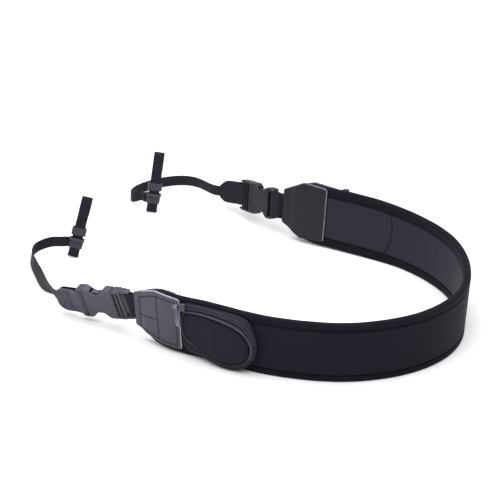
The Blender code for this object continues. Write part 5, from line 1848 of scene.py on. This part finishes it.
    def on_wall(self, angle: Array, share: Array, lift: Array) -> Array:
        """Places on the bulging wall between its foot and the panel."""
        foot, slope = self.foot(angle), self.rim(angle) - self.foot(angle)
        flat = unit(slope[..., :2])
        run = np.linalg.norm(slope[..., :2], axis=-1, keepdims=True)
        outwards = unit(np.concatenate((-flat * slope[..., 2:], run), -1))
        low = (1.0 - np.sin(angle)) / 2
        bulge = self.bulge[0] * (1.0 - low) + self.bulge[1] * low
        bulge = bulge * np.minimum(1.0, 1.5 - np.abs(3.0 * share - 1.5)) * slope[..., 2] / self.rise
        return foot + slope * share[..., None] + outwards * (bulge + lift)[..., None]

    def even_angles(self, count: int) -> Array:
        """Angles whose places half way up the wall are evenly spaced."""
        angles = np.linspace(0.0, tau, 24001)
        half = np.full_like(angles, 0.5)
        lengths = run_lengths(self.on_wall(angles, half, half * 0.0))
        return np.interp(np.linspace(0.0, lengths[-1], count + 1), lengths, angles)

    def on_band(self, flat: Array) -> Array:
        """Places over the band, kept off its cloth and off the floor."""
        rows = flat.copy()
        rows[:, 2] = np.maximum(rows[:, 2], self.end.band.edge / 2 + self.gap * 1.8)
        world = self.end.on_band(rows)
        world[:, 2] = np.maximum(world[:, 2], self.gap)
        return world

    def build_wall(self) -> Object:
        """The soft side wall, whose top is rolled into a welt round the panel."""
        skin = np.array((*self.skin, self.skin[0]))
        angles = self.even_angles(260)
        angle, share = np.broadcast_arrays(angles[:, None], skin[:, 0])
        places = self.on_wall(angle, share, np.broadcast_to(skin[:, 1] * MM, angle.shape))
        run = run_lengths(skin * (11.0, 1.0))
        around = np.linspace(0.0, self.wall_length, len(angles))
        made = woven(self.end.name("pocket_wall_cloth"), places, spread(around, run * MM),
                     closed=True)
        up_skin = read_uv(made)[:, 1] - run[np.argmax(skin[:, 1])] * MM
        flat = corners(made)
        # painted highlight along the welt, as the edge attribute, fading below the middle
        light = 1.0 - 0.85 * smoothstep(-flat[:, 1], *self.welt_dim)
        mark(made, "edge", light * hump(up_skin, self.welt_width))
        # painted shade in the welt's folds, beside the tab and low on the wall, as the seam attribute
        folds = [hump(up_skin - place, self.fold_width) for place in self.welt_folds]
        painted_shade_beside_tab = 0.9 * (1.0 - smoothstep(flat[:, 0], *self.tab_shade))
        below = 0.7 * smoothstep(-flat[:, 1], *self.low_shade)
        mark(made, "seam", np.max([*folds, painted_shade_beside_tab, below], axis=0))
        lay(made, self.on_band)
        return dress(made, POCKET_CLOTH, (self.end.name("pocket_wall"),))

    def build_panel(self) -> Object:
        """The padded face of the pocket, crowned, with a sunk edge."""
        at_rest()
        bpy.ops.mesh.primitive_circle_add(vertices=160, radius=1.0, fill_type="NGON")
        made = named(self.end.name("pocket_panel_pad"))
        for step in (0.012, 0.02, 0.03, 0.05, 0.08, *[0.1] * 6):
            flag_faces(made, lambda middle, normal: middle.length < 1e-4)
            with editing(made, "FACE"):
                bpy.ops.mesh.inset(thickness=step)
        flag_faces(made, lambda middle, normal: middle.length < 1e-4)
        with editing(made, "FACE"):
            bpy.ops.mesh.poke()
        disc = corners(made)
        radius = np.clip(np.linalg.norm(disc[:, :2], axis=1), 0.0, 1.0)
        angle = np.mod(np.arctan2(disc[:, 1], disc[:, 0]), tau)
        even = self.even_angles(160)
        angle = np.interp(angle, np.linspace(0.0, tau, len(even)), even)
        places = self.rim(angle, 1.0 - radius)
        places[:, 0] -= self.panel_inset * np.cos(angle) * radius ** 8
        places[:, 1] -= self.panel_inset * np.sin(angle) * radius ** 8
        lift = (self.panel_thick - self.wall) / 2 + self.panel_lift
        crown = (1.0 - radius ** 4) * self.dome - self.panel_sunk * smoothstep(radius, 0.90, 1.0)
        places[:, 2] += lift + crown
        write_uv(made, places[:, :2])
        move(made, places)
        if made.data.polygons[0].normal.z < 0.0:
            made.data.flip_normals()
        thicken(made, self.panel_thick * 0.86)
        soften(made, self.panel_rounding, 3, 60.0)
        flat = corners(made)
        shade, width = self.panel_edge_shade
        # painted shade along the panel's sunk edge, as the seam attribute
        rim = self.rim(np.linspace(0.0, tau, 400))[:, :2]
        mark(made, "seam", shade * hump(distance_to([rim], flat[:, :2]), width))
        lay(made, self.end.on_band)
        dress(made, POCKET_KNIT, (self.end.name("pocket_panel"),))
        return made

    def on_zip(self, place: Array, side: Array, lift: Array) -> Array:
        """Places on the zip: side is -1 at its upper edge and 1 at its lower one."""
        angle = tau * place / self.points
        middle = np.interp(place, self.zip_arc, self.zip_place)
        slope = np.linalg.norm(self.rim(angle) - self.foot(angle), axis=-1)
        share = middle + side * self.zip_width / 2 / slope
        return self.on_wall(angle, share, self.wall / 2 + self.gap + lift)

    def zip_spot(self, place: float, side: float, lift: float) -> Array:
        """One place on the zip."""
        return self.on_zip(*(np.array((value,)) for value in (place, side, lift)))[0]

    def zip_rows(self, count: int) -> Array:
        """Places along the zip's arc, evenly spaced."""
        places = np.linspace(*self.zip_arc, 2001)
        lengths = run_lengths(self.on_zip(places, places * 0.0, places * 0.0))
        return np.interp(np.linspace(0.0, lengths[-1], count), lengths, places)

    def build_zip(self) -> list[Object]:
        """The zip's tape, whose two lips meet over the coil, and the coil's teeth."""
        profile = np.array(self.zip_profile)
        rows = self.zip_rows(170)
        place, side = np.broadcast_arrays(rows[:, None], profile[:, 0])
        table = self.on_zip(place, side, np.broadcast_to(profile[:, 1] * MM, place.shape))
        along = np.linspace(0.0, self.zip_length, len(rows))
        tape = woven(self.end.name("zip_tape"), table, spread(along, profile[:, 0] * 2.0 * MM),
                     closed=True)
        lay(tape, self.end.on_band)
        spots = []
        for row in self.zip_rows(84)[1:-1]:
            centre = self.zip_spot(row, 0.0, self.coil_lift)
            across = self.zip_spot(row, 0.3, self.coil_lift) - centre
            onward = self.zip_spot(row + 0.05, 0.0, self.coil_lift) - centre
            turn = np.stack((unit(across), unit(onward), unit(np.cross(across, onward))))
            spots.append((turn, centre))
        coil = lay(copies(self.end.name("zip_teeth"), self.tooth.model(), spots),
                   self.end.on_band)
        return [dress(tape, ZIP_TAPE, (self.end.name("pocket_zip"),)), dress(coil, ZIP_COIL)]

    def slider_frame(self) -> Matrix:
        """The slider's matrix, with the pull's hinge along its x axis."""
        lift = self.zip_thick * 1.5 + self.gap + self.slider_body[2] / 2 + 1.0 * MM
        rows = np.stack([self.zip_spot(*row) for row in (
            (self.slider_point, 0.0, lift), (self.slider_point, 0.0, 0.0),
            (self.slider_point - 2.0, 0.0, lift))])
        here, inside, behind = (Vector(row) for row in self.end.on_band(rows))
        out = (here - inside).normalized()
        away = square_to(out, here - behind)
        return framed(away, out, here + away * self.slider_body[0] / 2)

    def pull_frame(self) -> Matrix:
        """The pull's matrix: x along its hinge, z up, hanging straight down."""
        frame = self.slider_frame()
        along = frame.col[0].to_3d()
        return framed(along, square_to(along, Vector((0, 0, 1))), frame.translation)

    def build_slider(self) -> list[Object]:
        """The slider with its pin, and the pull that hangs on it."""
        long, wide, thick = self.slider_body
        root, radius, reach = self.pin
        head, times, rounding = self.pin_head
        body = block(self.end.name("zip_slider_cast"),
                     (-long, -wide / 2, -thick / 2 - self.slider_under), (0, wide / 2, thick / 2))
        soften(body, self.slider_rounding, 4)
        parts = [rod("pin", (root, 0, 0), (reach, 0, 0), radius, 20),
                 soften(rod("head", (reach - head, 0, 0), (reach, 0, 0), radius * times, 24),
                        rounding, 2)]
        combine(body, parts, "UNION")
        stand(body, self.slider_frame())
        wide, long, thick = self.pull_size
        outer, bore = self.pull_eye
        first = self.pull_start
        pull = rod(self.end.name("zip_pull_cast"), (first, 0, 0), (first + wide, 0, 0), outer, 32)
        tab = block("tab", (first, -thick / 2, -long), (first + wide, thick / 2, -bore))
        combine(pull, [tab], "UNION")
        hole = rod("bore", (first - PAST, 0, 0), (first + wide + PAST, 0, 0), bore, 28)
        combine(pull, [hole], "DIFFERENCE")
        soften(pull, self.pull_rounding, 3, 50.0)
        stand(pull, self.pull_frame())
        body_name = f"{self.end.side.value}_pull"
        return [dress(body, DARK_METAL, (self.end.name("zip_slider"),)),
                dress(pull, METAL, (self.end.name("zip_pull"),), body_name)]

    def build(self) -> list[Object]:
        """The whole pocket."""
        return [self.build_wall(), self.build_panel(), *self.build_zip(), *self.build_slider()]


# ================================================================ stage, light and camera
@dataclass(frozen=True)
class Studio:
    """A plain pale floor, soft light and the camera of the view."""

    elevation: float = 26.0
    distance: float = 3.5
    focal: float = 3675.0 / 502.0 * 36.0
    target: tuple = (0.00504, 0.06607, 0.0)
    floor_colour: tuple = (0.86, 0.86, 0.87)
    world: float = 0.6
    lights: tuple = (("overhead_softbox", (0.0, -0.35, 2.2), 3.2, 96.0),
                     ("left_softbox", (-1.6, -1.2, 1.1), 1.4, 8.0))

    def build_camera(self) -> Object:
        """The camera, looking along +Y and down at the strap."""
        pitch = radians(self.elevation)
        data = bpy.data.cameras.new("view")
        data.sensor_width = 36.0
        data.lens = self.focal
        data.clip_end = 20.0
        made = linked("view", data)
        made.location = Vector(self.target) + self.distance * Vector((0, -cos(pitch), sin(pitch)))
        made.rotation_euler = (radians(90.0) - pitch, 0.0, 0.0)
        bpy.context.scene.camera = made
        return made

    def build_floor(self) -> Object:
        """The floor, which isn't part of the strap."""
        at_rest()
        bpy.ops.mesh.primitive_plane_add(size=30.0, location=(0.0, 0.0, 0.0))
        made = named("studio_floor")
        paint = bpy.data.materials.new("pale_floor")
        paint.use_nodes = True
        Board(paint.node_tree).fill(paint.node_tree.nodes["Principled BSDF"], {
            "Base Color": (*self.floor_colour, 1.0), "Roughness": 0.9, "Specular IOR Level": 0.1})
        made.data.materials.append(paint)
        return made

    def build_light(self, name: str, place: tuple, size: float, power: float) -> Object:
        """One soft light that faces the strap."""
        data = bpy.data.lights.new(name, "AREA")
        data.shape = "SQUARE"
        data.size = size
        data.energy = power
        made = linked(name, data)
        made.location = place
        made.rotation_euler = (-Vector(place)).to_track_quat("-Z", "Y").to_euler()
        return made

    def build(self) -> None:
        """The whole studio."""
        self.build_camera()
        self.build_floor()
        world = bpy.data.worlds.new("soft_room")
        world.use_nodes = True
        Board(world.node_tree).fill(world.node_tree.nodes["Background"], {
            "Color": (1.0, 1.0, 1.0, 1.0), "Strength": self.world})
        bpy.context.scene.world = world
        for row in self.lights:
            self.build_light(*row)
        bpy.context.scene.view_settings.view_transform = "Standard"


def main() -> None:
    """Builds the strap over its frame, and the studio round it."""
    logging.basicConfig(level=logging.INFO, format="%(message)s")
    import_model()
    Studio().build()
    band = Band()
    assemblies: list = [band]
    for side in Side:
        end = End(side, band)
        assemblies += [EndTabs(end), WebbingLoop(end), Buckle(end), Patch(end), LugStrap(end),
                       Pocket(end)]
    count = 0
    for assembly in assemblies:
        made = assembly.build()
        count += len(made)
        LOG.info("%s: %d pieces", type(assembly).__name__, len(made))
    at_rest()
    LOG.info("%d pieces in all", count)


if __name__ == "__main__":
    main()
